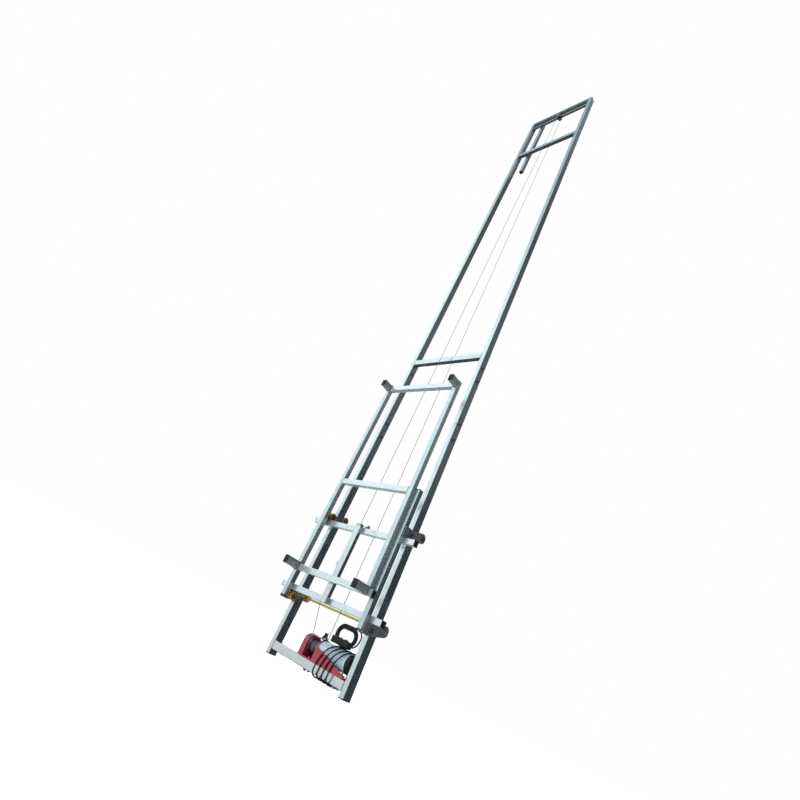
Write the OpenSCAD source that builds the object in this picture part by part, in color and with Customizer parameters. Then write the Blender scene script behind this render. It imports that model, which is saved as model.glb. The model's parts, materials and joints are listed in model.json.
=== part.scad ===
// Material hoist: a tube ladder mast, a roller carriage with a load cradle and an electric rope winch.
// Millimetres, +Z up along the mast, the load side faces -Y, the origin lies between the two feet.

/* [Mast] */
// Width over the two rails
mast_w = 600; // [560:5:640]
// Height from the feet to the top
mast_h = 5170; // [5000:10:5400]
// Width of a rail tube seen from the front
rail_w = 30; // [28:1:34]
// Depth of a rail tube
rail_d = 50; // [46:1:56]
// Wall of all the tubes
tube_wall = 2.5; // [2:0.1:3]
// Height of the joint between lower and upper rails
splice_z = 1580; // [1500:5:1600]
// Length of a splice sleeve
splice_l = 580; // [560:5:620]
// Height of the mast's cross tubes
rung_h = 40; // [34:1:44]
// Depth of the two rungs
rung_d = 30; // [24:1:30]
// Underside of the bottom beam above the feet
foot_z = 25; // [24:1:30]
// Rise from the rail joint to the middle rung's underside
middle_rung_rise = 328; // [315:1:380]
// Drop from the mast's top to the upper rung's underside
upper_rung_drop = 625; // [580:5:670]
// Length of the stop tube below the top bar
stop_tube_l = 836; // [800:2:880]

/* [Carriage] */
// Side of the square tubes
sq_tube = 30; // [28:1:32]
// Length of an axle beam
axle_beam_l = 762; // [740:2:790]
// Height of an axle beam
axle_beam_h = 30; // [28:1:40]
// Depth of an axle beam
axle_beam_d = 30; // [26:1:32]
// Gap between the mast and the axle beams
mast_gap = 17; // [16:1:26]
// Underside of the lower axle beam at rest
lower_beam_z = 307; // [302:1:330]
// Distance from one axle beam up to the next
beam_pitch = 373; // [360:1:400]
// Length of a stile
stile_l = 690; // [660:2:720]
// Length of a stile below the lower beam
stile_tail = 42; // [36:1:60]
// Width of the centre spine
spine_w = 40; // [34:1:44]
// Depth of the centre spine
spine_d = 23; // [18:1:26]
// Height of the load cradle
cradle_l = 1244; // [1200:1:1300]
// Height of the cradle above the lower beam
cradle_lift = 94; // [80:1:120]
// Height of the middle crossbar above the cradle's foot
middle_bar_lift = 518; // [460:2:540]
// Length of an upper prong
short_prong_l = 62; // [50:1:80]
// Length of a lower prong
long_prong_l = 88; // [80:1:140]
// Height of a prong
prong_h = 40; // [34:1:44]

/* [Rollers] */
// Radius of a roller
roller_r = 22; // [18:0.5:23]
// Length of a roller
roller_l = 34; // [30:1:35]
// Diameter of the roller axles
axle_d = 12; // [10:1:14]
// Thickness of a roller bracket
bracket_t = 6; // [4:0.5:8]
// Height of the rear axles above the front ones
rear_axle_rise = 22; // [0:1:26]

/* [Winch] */
// Radius of the motor over its fins
motor_r = 41; // [39:0.5:41]
// Length of the motor casing
motor_l = 194; // [185:1:200]
// Length of the motor's end cover
cover_l = 27; // [20:1:30]
// Half depth of the winch base and side plates
base_half = 46; // [46:0.5:48]
// Thickness of the winch base
base_t = 6; // [5:0.5:7]
// Length of the drum barrel
barrel_l = 55; // [54:0.5:58]
// Radius of the rope's middle line on drum and sheave
rope_path_r = 28; // [27:0.5:30]
// Radius of the drum flanges
flange_r = 40; // [36:0.5:41]
// Diameter of the wire rope
rope_d = 3; // [2.5:0.1:3.2]

/* [Cords] */
// Diameter of the pendant and power cords
cord_d = 7; // [6:0.5:7]

/* [Hidden] */
$fn = 64;
cut = 1;
face_gap = 0.3;
run_fit = 0.05;
bolt_clear = 0.3;
end_play = 0.5;

// Bolt proportions, as shares of the thread diameter
head_share = 0.65;
nut_share = 0.8;
flats_share = 1.7;
thread_end_share = 0.3;

// Mast
half_w = mast_w / 2;
rail_in = half_w - rail_w;
rail_mid = half_w - rail_w / 2;
rail_front = -rail_d / 2;
rail_back = rail_d / 2;
plug_t = 4;
plug_l = 18;
plug_fit = 0.2;
sleeve_fit = 0.3;
splice_bolt_d = 10;
splice_bolt_edge = 30;
splice_bolt_pitch = 105;
splice_bolt_far = splice_l / 2 - splice_bolt_edge;
splice_bolt_near = splice_bolt_far - splice_bolt_pitch;
splice_bolt_z = [for (s = [-1, 1]) for (o = [splice_bolt_near, splice_bolt_far]) splice_z + s * o];
middle_rung_z = splice_z + middle_rung_rise;
upper_rung_z = mast_h - upper_rung_drop;
top_bar_z = mast_h - plug_t - rung_h;
stop_tube_x = 175;
stop_tube_y = rail_front + rung_d;
shaft_r = 9;
shaft_y = -8;
shaft_drop = 45;
shaft_z = top_bar_z - shaft_drop;
sheave_t = 18;
sheave_lip = 6;
sheave_rim_t = 3;
collar_r = 16;
collar_l = 12;

// Carriage
stile_gap = 11;
stile_out = half_w + stile_gap;
stile_in = stile_out - sq_tube;
beam_back = rail_front - mast_gap;
beam_front = beam_back - axle_beam_d;
stile_front = beam_front - sq_tube;
cradle_back = beam_front - spine_d;
cradle_front = cradle_back - sq_tube;
cradle_in = stile_in - sq_tube;
upper_beam_z = lower_beam_z + beam_pitch;
beam_top_z = upper_beam_z + axle_beam_h;
stile_z = lower_beam_z - stile_tail;
cradle_z = lower_beam_z + cradle_lift;
cradle_top = cradle_z + cradle_l;
upper_prong_z = cradle_top - plug_t - prong_h;
crossbar_h = 32;
crossbar_z = [cradle_z + middle_bar_lift, upper_prong_z];
foot_bar_d = stile_front - cradle_front;

// Rollers
roller_clear = 0.3;
roller_chamfer = 2;
roller_drop = 3;
bracket_r = roller_r + roller_drop;
bracket_lap = 25;
front_axle_y = rail_front - roller_clear - roller_r;
rear_axle_y = rail_back + roller_clear + roller_r;
lower_axle_z = lower_beam_z - bracket_r;
upper_axle_z = beam_top_z + bracket_r;
lower_rear_z = lower_axle_z + rear_axle_rise;
upper_rear_z = upper_axle_z + rear_axle_rise;
spacer_r = 9;
axle_grip_x = rail_mid - roller_l / 2 - end_play;

// Rope and its fixings on the carriage
rope_r = rope_d / 2;
rope_seat = 0.1;
anchor_w = 30;
anchor_h = 12;
anchor_y = beam_front - spine_d / 2;
clamp_x = 36;
clamp_d = 10;
clamp_washer_r = 14;
clamp_washer_t = 3;
clamp_y = beam_front + axle_beam_d / 2;
tail_z = beam_top_z + clamp_washer_t + rope_seat + rope_r;
saddle_w = 10;
saddle_h = 20;
saddle_d = 16;
saddle_lift = 183;
saddle_z = lower_beam_z + saddle_lift;
downhaul_gap = 1;
downhaul_x = -spine_w / 2 - downhaul_gap - rope_r;
downhaul_drop = 4;
downhaul_z = lower_beam_z - downhaul_drop;

// Winch places
base_z = foot_z + rung_h;
base_top = base_z + base_t;
winch_y = 8;
base_y0 = winch_y - base_half;
base_y1 = winch_y + base_half;
base_lift = 8;
axis_z = base_top + base_lift + base_half;
drum_mid = 1.5;
barrel_x0 = drum_mid - barrel_l / 2;
barrel_x1 = drum_mid + barrel_l / 2;
flange_t = 4;
plate_t = 4;
plate_gap = 4;
left_plate_x = barrel_x0 - flange_t - plate_gap - plate_t;
right_plate_x = barrel_x1 + flange_t + plate_gap;
case_l = 28;
case_wall = 3;
case_x = left_plate_x - case_l;
motor_x = right_plate_x + plate_t;
cover_x = motor_x + motor_l;
winch_end_x = cover_x + cover_l;
gusset_high = 60;
gusset_low = 8;

// Drum, gears and motor
barrel_r = rope_path_r - rope_r - rope_seat;
hub_r = 12;
drum_bore_r = 6;
motor_shaft_r = 4;
gear_gap = 0.2;
tooth_h = 1.2;
tooth_tip_share = 0.15;
tooth_root_share = 0.3;
pinion_teeth = 11;
large_teeth = 37;
small_teeth = 14;
drum_teeth = 34;
gear_module = 1;
pinion_r = gear_module * pinion_teeth / 2;
large_r = gear_module * large_teeth / 2;
gear_pitch = pinion_r + large_r;
mesh_turn = 45;
mesh_y = winch_y + gear_pitch * cos(mesh_turn);
mesh_z = axis_z + gear_pitch * sin(mesh_turn);
drum_gear_w = 8;
large_gear_w = 6;
gear_side = 2;
gear_space = 4;
drum_gear_x = left_plate_x - gear_side - drum_gear_w;
large_gear_x = drum_gear_x - gear_space - large_gear_w;
boss_r = 8;
boss_l = 3;
boss_floor = 1;
shaft_end_x = case_x + boss_floor + end_play;
motor_wall = 5;
fin_h = 3;
fin_w = 3;
fin_count = 24;
shell_r = motor_r - fin_h;
shell_t = 3;
motor_bore_r = shell_r - shell_t;
stator_l = 120;
stator_inset = 39;
stator_x = motor_x + stator_inset;
stator_fit = 0.1;
rotor_l = 110;
rotor_r = 23;
air_gap = 0.6;
cover_wall = 3;
cover_floor = 5;

// Guard and lever
guard_gap = 3;
guard_t = 2;
guard_half = 20;
guard_r = flange_r + guard_gap + guard_t;
lever_x = 18;
lever_w = 24;
lever_h = 20;
lever_t = 3;
lever_hub_r = 4.5;
lever_pin_r = 2.5;
lever_lift = 6;
lever_z = axis_z + guard_r + lever_lift;
ear_t = 3;
ear_r = 5;
ear_play = 0.5;
pin_l = ear_t + ear_play;

// Control box, glands and fixings
box_d = 40;
box_h = 80;
box_lift = 4;
lid_d = 6;
lid_inset = 1;
gland_y = 80;
gland_z = [140, 112];
gland_nut_r = 10;
gland_nut_l = 7;
gland_boot_r = 8;
gland_tip_r = 5.5;
gland_l = 22;
winch_bolt_d = 8;
winch_bolt_y = 14;
winch_bolt_pitch = 213.5;
winch_bolt_x = [drum_mid, drum_mid + winch_bolt_pitch];

// Pendant
pendant_x = 75;
pendant_l = 120;
pendant_y = 2;
pendant_w = 32;
pendant_h = 30;
pendant_z = 174;
boot_l = 10;
boot_r = 6;
boot_z = pendant_z + pendant_h / 2;
button_r = 6;
stop_button_r = 9;
button_clear = 0.3;
button_out = 4;
button_in = 6;
button_travel = 3;
button_x = [100, 125, 160];

// Cord routes, from each piece that holds an end to the next
cord_sides = 10;
wound_sides = 6;
loop_rings = 24;
coil_x = 125;
coil_z = 221;
coil_r = 46;
coil_oval = 50;
coil_run_share = 0.15;
coil_bend_share = 0.35;
coil_pitch = 8.6;
coil_back_y = 33;
coil_front_y = 24;
coil_turns = 4.5;
coil_reversal = 0.5;
pendant_route = [
    [63, 80, 140], [71, 80, 140], [84, 80, 140], [98, 80, 140], [112, 80, 140], [125, 80, 140],
    [140, 77, 142], [150, 68, 149], [154, 56.5, 157.5], [150, 45, 166], [140, 36, 173], [125, 33, 175]];
handset_route = [
    [125, 24, 267], [137, 24, 267], [155, 24, 267], [174, 23.5, 266], [193, 22, 264], [210, 19, 259],
    [224, 14, 250], [233, 9, 237], [235, 5, 221], [230, 3, 204], [219, 2, 193], [212, 2, 189],
    [205, 2, 189]];
power_route = [
    [63, 80, 112], [71.5, 79, 111.5], [79.5, 77, 109.5], [87, 73.5, 106], [92.5, 69.5, 101],
    [97, 65.5, 94.5], [99.5, 62.5, 87], [101, 60, 79], [101, 58.5, 70.5], [100, 58, 62]];
plug_route = [[230.6, 58, 80], [229.6, 58, 71], [229.3, 58, 62]];
wrap_start_x = 100;
wrap_pitch = 32;
wrap_sway = 45;
wrap_turns = 4;
wrap_y = 8;
wrap_r = 50;
wrap_top_z = 120;
wrap_start_z = 62;
wrap_end_z = 80;
wrap_low_z = 18;
wrap_bend_r = 28;
lean_shares = [0.40, 0.70, 0.74];
plug_body_r = 17;
plug_body_h = 35;
plug_pin_r = 2.4;
plug_pin_l = 19;
plug_pin_gap = 19;

// Turns of rope on the drum
turn_pitch = 3.7;
downhaul_turns = 9;
hoist_turns = 3;
winding_margin = 2;
downhaul_turn_x = barrel_x0 + winding_margin + rope_r;
hoist_turn_x = barrel_x1 - winding_margin - rope_r - hoist_turns * turn_pitch;
run_start = 15;
downhaul_reach = [anchor_y - winch_y, downhaul_z - axis_z];
downhaul_angle = atan2(downhaul_reach[1], downhaul_reach[0]) + acos(rope_path_r / norm(downhaul_reach));
downhaul_foot = [
    winch_y + rope_path_r * cos(downhaul_angle),
    axis_z + rope_path_r * sin(downhaul_angle)];
downhaul_way = [anchor_y - downhaul_foot[0], downhaul_z - downhaul_foot[1]];
downhaul_step = run_start / norm(downhaul_way);
downhaul_start = downhaul_foot + downhaul_step * downhaul_way;

steel = [0.80, 0.82, 0.84];
zinc = [0.62, 0.64, 0.66];
yellow_zinc = [0.62, 0.60, 0.28];
black = [0.06, 0.06, 0.07];
amber = [0.76, 0.47, 0.12];
red = [0.72, 0.14, 0.22];
silver = [0.70, 0.73, 0.78];
wire = [0.45, 0.46, 0.47];
copper = [0.60, 0.36, 0.20];
green = [0.10, 0.50, 0.25];

// Plain helpers

function unit(v) = v / norm(v);

module span(from, to) {
    translate(from)
        cube(to - from);
}

module pair() {
    children();
    mirror([1, 0, 0])
        children();
}

module along_x(x, y = winch_y, z = axis_z) {
    translate([x, y, z])
        rotate([0, 90, 0])
            children();
}

// A tube between two corners, open at both ends along one axis
module tube(from, to, axis) {
    open = [for (i = [0:2]) i == axis ? -cut : tube_wall];
    difference() {
        span(from, to);
        span(from + open, to - open);
    }
}

// An end plug whose head closes the tube below the local origin
module plug(w, d) {
    shank_w = w - 2 * (tube_wall + plug_fit);
    shank_d = d - 2 * (tube_wall + plug_fit);
    translate([-w / 2, -d / 2, -plug_t])
        cube([w, d, plug_t]);
    translate([-shank_w / 2, -shank_d / 2, -cut])
        cube([shank_w, shank_d, plug_l + cut]);
}

// A bolt with its head below the local origin and its nut above the grip
module bolt(d, grip) {
    hex_d = d * flats_share / cos(30);
    translate([0, 0, -d * head_share])
        cylinder(d = hex_d, h = d * head_share, $fn = 6);
    translate([0, 0, -d * head_share / 2])
        cylinder(d = d, h = d * head_share / 2 + grip + d * (nut_share + thread_end_share));
    translate([0, 0, grip])
        cylinder(d = hex_d, h = d * nut_share, $fn = 6);
}

module hole_x(x, l, y, z, d) {
    along_x(x - cut, y, z)
        cylinder(d = d, h = l + 2 * cut);
}

// A straight length of rope between two points
module rope(from, to) {
    way = to - from;
    translate(from)
        rotate([0, acos(way[2] / norm(way)), atan2(way[1], way[0])])
            cylinder(r = rope_r, h = norm(way), $fn = 24);
}

// A round tube of flat triangles swept along a list of points
function carried(way, i, side, done) =
    i == len(way) ? done :
    let (next = unit(side - way[i] * (side * way[i])))
    carried(way, i + 1, next, concat(done, [next]));

module sweep(path, d, sides, side, first, last) {
    end = len(path) - 1;
    way = [for (i = [0:end])
        i == 0 && first != undef ? first :
        i == end && last != undef ? last :
        unit(path[min(i + 1, end)] - path[max(i - 1, 0)])];
    sideways = carried(way, 0, side, []);
    points = [for (i = [0:end]) for (k = [0:sides - 1])
        path[i] + d / 2 * (cos(360 * k / sides) * sideways[i]
            + sin(360 * k / sides) * cross(way[i], sideways[i]))];
    skin = [for (i = [0:end - 1]) for (k = [0:sides - 1])
        let (a = i * sides + k, b = i * sides + (k + 1) % sides)
        each [[a, a + sides, b + sides], [a, b + sides, b]]];
    caps = [for (k = [1:sides - 2])
        each [[0, k, k + 1], [end * sides, end * sides + k + 1, end * sides + k]]];
    polyhedron(points, concat(skin, caps));
}

// A smooth line through the points of a route, with one ring between each two
function ghost(p, i) =
    i < 0 ? 2 * p[0] - p[1] : i >= len(p) ? 2 * p[len(p) - 1] - p[len(p) - 2] : p[i];
function halfway(p, i) = (9 * (p[i] + p[i + 1]) - ghost(p, i - 1) - ghost(p, i + 2)) / 16;
function smooth(p) = [for (i = [0:2 * (len(p) - 1)]) i % 2 == 0 ? p[i / 2] : halfway(p, (i - 1) / 2)];

// Least gap between turns, measured over points at least half a turn apart
function self_gap(path, d, apart) =
    min([for (i = [0:len(path) - 1 - apart]) for (j = [i + apart:len(path) - 1])
        norm(path[i] - path[j])]) - d;

// The oval pendant coil spirals in at the back, climbs a layer and spirals out in front
coil_in = (coil_turns - coil_reversal) / 2;
coil_flat_r = coil_r - coil_pitch * coil_in;
function coil_radius(t) =
    t < coil_in ? coil_r - coil_pitch * t :
    t > coil_turns - coil_in ? coil_r - coil_pitch * (coil_turns - t) : coil_flat_r;
function within(u) = min(1, max(0, u));
function coil_layer(t) = within((t - coil_in) / coil_reversal);
function coil_turned(part) =
    within((part - coil_run_share / 2) / coil_bend_share)
    + within((part - coil_run_share * 3 / 2 - coil_bend_share) / coil_bend_share);
function coil_shift(part) =
    -within(2 * part / coil_run_share)
    + 2 * within((part - coil_run_share / 2 - coil_bend_share) / coil_run_share)
    - within(1 - 2 * (1 - part) / coil_run_share);
function coil_point(t) =
    let (r = coil_radius(t), part = t - floor(t), a = -90 - 180 * coil_turned(part))
    [coil_x + coil_oval / 2 * coil_shift(part) + r * cos(a),
        coil_back_y + (coil_front_y - coil_back_y) * coil_layer(t),
        coil_z + r * sin(a)];
coil_path = [for (i = [0:coil_turns * loop_rings]) coil_point(i / loop_rings)];

// The power cord winds down the back, under the beam, up the front and over the motor
wrap_legs = [
    wrap_start_z - wrap_low_z - wrap_bend_r, wrap_bend_r * PI / 2, 2 * (wrap_r - wrap_bend_r),
    wrap_bend_r * PI / 2, wrap_top_z - wrap_low_z - wrap_bend_r, wrap_r * PI, wrap_top_z - wrap_start_z];
function legs_to(n) = n == 0 ? 0 : legs_to(n - 1) + wrap_legs[n - 1];
wrap_round = legs_to(len(wrap_legs));
function leg_of(s, n = 0) = n == len(wrap_legs) - 1 || s < legs_to(n + 1) ? n : leg_of(s, n + 1);
function wrap_yz(s) =
    let (n = leg_of(s), u = (s - legs_to(n)) / wrap_legs[n], inner = wrap_r - wrap_bend_r,
        bend_z = wrap_low_z + wrap_bend_r)
    n == 0 ? [wrap_r, wrap_start_z + u * (bend_z - wrap_start_z)] :
    n == 1 ? [inner + wrap_bend_r * cos(90 * u), bend_z - wrap_bend_r * sin(90 * u)] :
    n == 2 ? [inner * (1 - 2 * u), wrap_low_z] :
    n == 3 ? [-inner - wrap_bend_r * sin(90 * u), bend_z - wrap_bend_r * cos(90 * u)] :
    n == 4 ? [-wrap_r, bend_z + u * (wrap_top_z - bend_z)] :
    n == 5 ? [-wrap_r * cos(180 * u), wrap_top_z + wrap_r * sin(180 * u)] :
    [wrap_r, wrap_top_z + u * (wrap_start_z - wrap_top_z)];
// Each turn leans to the right as it climbs the front and comes back behind
function eased(u) = u * u * (3 - 2 * u);
lean_back_share = lean_shares[0] + 1 - lean_shares[2];
function wrap_lean(part) =
    part < lean_shares[0] ? 1 - eased((part + 1 - lean_shares[2]) / lean_back_share) :
    part < lean_shares[1] ? eased((part - lean_shares[0]) / (lean_shares[1] - lean_shares[0])) :
    part < lean_shares[2] ? 1 : 1 - eased((part - lean_shares[2]) / lean_back_share);
wrap_x = wrap_start_x - wrap_sway * wrap_lean(0);
function wrap_point(t) =
    let (part = t - floor(t), p = wrap_yz(part * wrap_round))
    [wrap_x + wrap_pitch * t + wrap_sway * wrap_lean(part), wrap_y + p[0], p[1]];
wrap_rings = wrap_turns * loop_rings;
wrap_end = wrap_turns - (wrap_end_z - wrap_start_z) / wrap_round;
wrap_path = [for (i = [0:wrap_rings]) wrap_point(wrap_end * i / wrap_rings)];

// Rope turns on the drum, from the side where the rope leaves it
function turn_point(x, start, turn, t) = [
    x + turn_pitch * t,
    winch_y + rope_path_r * cos(start + 360 * turn * t),
    axis_z + rope_path_r * sin(start + 360 * turn * t)];
downhaul_path = [for (i = [0:downhaul_turns * loop_rings])
    turn_point(downhaul_turn_x, downhaul_angle, 1, i / loop_rings)];
hoist_path = [for (i = [0:hoist_turns * loop_rings])
    turn_point(hoist_turn_x, 0, -1, i / loop_rings)];

half_turn = loop_rings / 2;
echo(pendant_coil_gap = self_gap(coil_path, cord_d, half_turn));
echo(power_wrap_gap = self_gap(wrap_path, cord_d, half_turn));
echo(downhaul_winding_gap = self_gap(downhaul_path, rope_d, half_turn));
echo(hoist_winding_gap = self_gap(hoist_path, rope_d, half_turn));

// Mast

module rail(from_z, to_z) {
    color(steel)
        difference() {
            tube([rail_in, rail_front, from_z], [half_w, rail_back, to_z], 2);
            splice_holes(rail_in, rail_w);
        }
}

module splice_holes(x, l) {
    for (z = splice_bolt_z)
        hole_x(x, l, 0, z, splice_bolt_d + 2 * bolt_clear);
}

module right_lower_rail() rail(plug_t, splice_z);
module left_lower_rail() mirror([1, 0, 0]) right_lower_rail();
module right_upper_rail() rail(splice_z, mast_h - plug_t);
module left_upper_rail() mirror([1, 0, 0]) right_upper_rail();

module splice_sleeves() {
    inset = tube_wall + sleeve_fit;
    color(zinc)
        pair()
            difference() {
                tube(
                    [rail_in + inset, rail_front + inset, splice_z - splice_l / 2],
                    [half_w - inset, rail_back - inset, splice_z + splice_l / 2], 2);
                splice_holes(rail_in, rail_w);
            }
}

module splice_bolts() {
    color(zinc)
        pair()
            for (z = splice_bolt_z)
                translate([half_w, 0, z])
                    rotate([0, -90, 0])
                        bolt(splice_bolt_d, rail_w);
}

module mast_end_plugs() {
    color(black) {
        pair() {
            translate([rail_mid, 0, plug_t])
                plug(rail_w, rail_d);
            translate([rail_mid, 0, mast_h - plug_t])
                rotate([180, 0, 0])
                    plug(rail_w, rail_d);
        }
        translate([-stop_tube_x - sq_tube / 2, stop_tube_y + sq_tube / 2, top_bar_z - stop_tube_l + plug_t])
            plug(sq_tube, sq_tube);
    }
}

module bottom_beam() {
    color(steel)
        difference() {
            tube([-rail_in, rail_front, foot_z], [rail_in, rail_back, base_z], 0);
            winch_bolt_holes();
        }
}

module rung(z) {
    color(steel)
        tube([-rail_in, rail_front, z], [rail_in, rail_front + rung_d, z + rung_h], 0);
}

module middle_rung() rung(middle_rung_z);
module upper_rung() rung(upper_rung_z);

module top_bar() {
    color(steel)
        tube([-rail_in, rail_front, top_bar_z], [rail_in, rail_back, top_bar_z + rung_h], 0);
}

module stop_tube() {
    color(steel)
        tube(
            [-stop_tube_x - sq_tube, stop_tube_y, top_bar_z - stop_tube_l + plug_t],
            [-stop_tube_x, stop_tube_y + sq_tube, top_bar_z], 2);
}

module head_shaft() {
    color(zinc) {
        along_x(-rail_in, shaft_y, shaft_z)
            cylinder(r = shaft_r, h = 2 * rail_in);
        pair()
            along_x(sheave_t / 2 + end_play, shaft_y, shaft_z)
                cylinder(r = collar_r, h = collar_l);
    }
}

module head_sheave() {
    half_t = sheave_t / 2;
    groove_r = rope_path_r - rope_r - rope_seat;
    rim_r = rope_path_r + sheave_lip;
    color(zinc)
        along_x(0, shaft_y, shaft_z)
            rotate_extrude()
                polygon([
                    [shaft_r + run_fit, -half_t], [rim_r, -half_t], [rim_r, sheave_rim_t - half_t],
                    [groove_r, -rope_r - rope_seat], [groove_r, rope_r + rope_seat],
                    [rim_r, half_t - sheave_rim_t], [rim_r, half_t], [shaft_r + run_fit, half_t]]);
}

// Wire rope

module hoist_rope_run() {
    color(wire) {
        rope(
            [hoist_turn_x, winch_y + rope_path_r, axis_z + run_start],
            [0, shaft_y + rope_path_r, shaft_z - face_gap]);
        along_x(0, shaft_y, shaft_z)
            rotate([0, 0, 90])
                rotate_extrude(angle = 180)
                    translate([rope_path_r, 0])
                        circle(r = rope_r, $fn = 24);
    }
}

module hoist_rope_fall() {
    color(wire)
        rope(
            [0, anchor_y, beam_top_z + anchor_h + face_gap],
            [0, shaft_y - rope_path_r, shaft_z - face_gap]);
}

module downhaul_rope() {
    color(wire)
        rope(
            [downhaul_x, downhaul_start[0], downhaul_start[1]],
            [downhaul_x, anchor_y, downhaul_z]);
}

module rope_winding() {
    color(wire) {
        sweep(downhaul_path, rope_d, wound_sides, [1, 0, 0]);
        sweep(hoist_path, rope_d, wound_sides, [1, 0, 0]);
    }
}

// Carriage

module right_stile() {
    color(steel)
        tube(
            [stile_in, stile_front, stile_z + plug_t],
            [stile_out, beam_front, stile_z + stile_l - plug_t], 2);
}

module left_stile() mirror([1, 0, 0]) right_stile();

module axle_beam(z) {
    end = axle_beam_l / 2 - plug_t;
    tube([-end, beam_front, z], [end, beam_back, z + axle_beam_h], 0);
}

module upper_axle_beam() {
    color(steel)
        difference() {
            axle_beam(upper_beam_z);
            translate([clamp_x, clamp_y, beam_top_z - tube_wall - cut])
                cylinder(d = clamp_d + 2 * bolt_clear, h = tube_wall + 2 * cut);
        }
}

module lower_axle_beam() {
    color(steel)
        axle_beam(lower_beam_z);
}

module centre_spine() {
    color(steel)
        tube([-spine_w / 2, cradle_back, lower_beam_z], [spine_w / 2, beam_front, beam_top_z], 2);
}

module right_cradle_tube() {
    color(steel)
        tube(
            [cradle_in, cradle_front, cradle_z + crossbar_h],
            [stile_in, cradle_back, cradle_top - plug_t], 2);
}

module left_cradle_tube() mirror([1, 0, 0]) right_cradle_tube();

// The lowest bar lies across both stiles and carries the cradle tubes
module cradle_crossbars() {
    foot_end = stile_out - plug_t;
    color(steel) {
        tube([-foot_end, cradle_front, cradle_z], [foot_end, stile_front, cradle_z + crossbar_h], 0);
        for (z = crossbar_z)
            tube([-cradle_in, cradle_front, z], [cradle_in, cradle_back, z + crossbar_h], 0);
    }
}

module prong(z, l) {
    tube([cradle_in, cradle_front - l + plug_t, z], [stile_in, cradle_front, z + prong_h], 1);
}

module load_prongs() {
    color(steel)
        pair() {
            prong(cradle_z, long_prong_l);
            prong(upper_prong_z, short_prong_l);
        }
}

module prong_plug(z, l) {
    translate([stile_in - sq_tube / 2, cradle_front - l + plug_t, z + prong_h / 2])
        rotate([-90, 0, 0])
            plug(sq_tube, prong_h);
}

module tube_top_plug(x, y, z) {
    translate([x, y, z - plug_t])
        rotate([180, 0, 0])
            plug(sq_tube, sq_tube);
}

module stile_plugs(x, y) {
    translate([x, y, stile_z + plug_t])
        plug(sq_tube, sq_tube);
    tube_top_plug(x, y, stile_z + stile_l);
}

module bar_plug(x, y, z, h, d) {
    translate([x - plug_t, y, z + h / 2])
        rotate([0, -90, 0])
            plug(h, d);
}

module carriage_end_plugs() {
    color(black)
        pair() {
            prong_plug(cradle_z, long_prong_l);
            prong_plug(upper_prong_z, short_prong_l);
            stile_plugs(stile_out - sq_tube / 2, beam_front - sq_tube / 2);
            tube_top_plug(stile_in - sq_tube / 2, cradle_back - sq_tube / 2, cradle_top);
            for (z = [lower_beam_z, upper_beam_z])
                bar_plug(axle_beam_l / 2, beam_back - axle_beam_d / 2, z, axle_beam_h, axle_beam_d);
            bar_plug(stile_out, stile_front - foot_bar_d / 2, cradle_z, crossbar_h, foot_bar_d);
        }
}

// A cranked plate that lies on a stile and carries a front and a rear axle
module bracket(axle_z, rear_z) {
    lap_y = beam_front - bracket_lap;
    tilt = atan2(rear_z - axle_z, rear_axle_y - front_axle_y);
    side = bracket_r * [-sin(tilt), cos(tilt)];
    difference() {
        union() {
            translate([stile_out, 0, 0])
                rotate([90, 0, 90])
                    linear_extrude(bracket_t)
                        polygon([
                            [lap_y, axle_z - bracket_r], [front_axle_y, axle_z - bracket_r],
                            [rear_axle_y, rear_z] - side, [rear_axle_y, rear_z] + side,
                            [beam_back, axle_z + bracket_r], [lap_y, axle_z + bracket_r]]);
            along_x(stile_out, rear_axle_y, rear_z)
                cylinder(r = bracket_r, h = bracket_t);
        }
        hole_x(stile_out, bracket_t, front_axle_y, axle_z, axle_d + 2 * bolt_clear);
        hole_x(stile_out, bracket_t, rear_axle_y, rear_z, axle_d + 2 * bolt_clear);
    }
}

module roller_brackets() {
    color(steel)
        pair() {
            bracket(lower_axle_z, lower_rear_z);
            bracket(upper_axle_z, upper_rear_z);
        }
}

module axle(y, z) {
    translate([stile_out + bracket_t, y, z])
        rotate([0, -90, 0])
            bolt(axle_d, stile_out + bracket_t - axle_grip_x);
    along_x(rail_mid + roller_l / 2 + end_play, y, z)
        cylinder(r = spacer_r, h = stile_out - rail_mid - roller_l / 2 - end_play);
}

module roller_axles() {
    color(zinc)
        pair() {
            axle(front_axle_y, lower_axle_z);
            axle(front_axle_y, upper_axle_z);
            axle(rear_axle_y, upper_rear_z);
        }
}

module tie_rod() {
    color(yellow_zinc) {
        pair()
            axle(rear_axle_y, lower_rear_z);
        along_x(-axle_grip_x, rear_axle_y, lower_rear_z)
            cylinder(d = axle_d, h = 2 * axle_grip_x);
    }
}

module rollers(y, z) {
    color(amber)
        pair()
            along_x(rail_mid - roller_l / 2, y, z)
                rotate_extrude()
                    polygon([
                        [axle_d / 2 + run_fit, 0],
                        [roller_r - roller_chamfer, 0], [roller_r, roller_chamfer],
                        [roller_r, roller_l - roller_chamfer], [roller_r - roller_chamfer, roller_l],
                        [axle_d / 2 + run_fit, roller_l]]);
}

module upper_front_rollers() rollers(front_axle_y, upper_axle_z);
module upper_rear_rollers() rollers(rear_axle_y, upper_rear_z);
module lower_front_rollers() rollers(front_axle_y, lower_axle_z);
module lower_rear_rollers() rollers(rear_axle_y, lower_rear_z);

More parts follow.
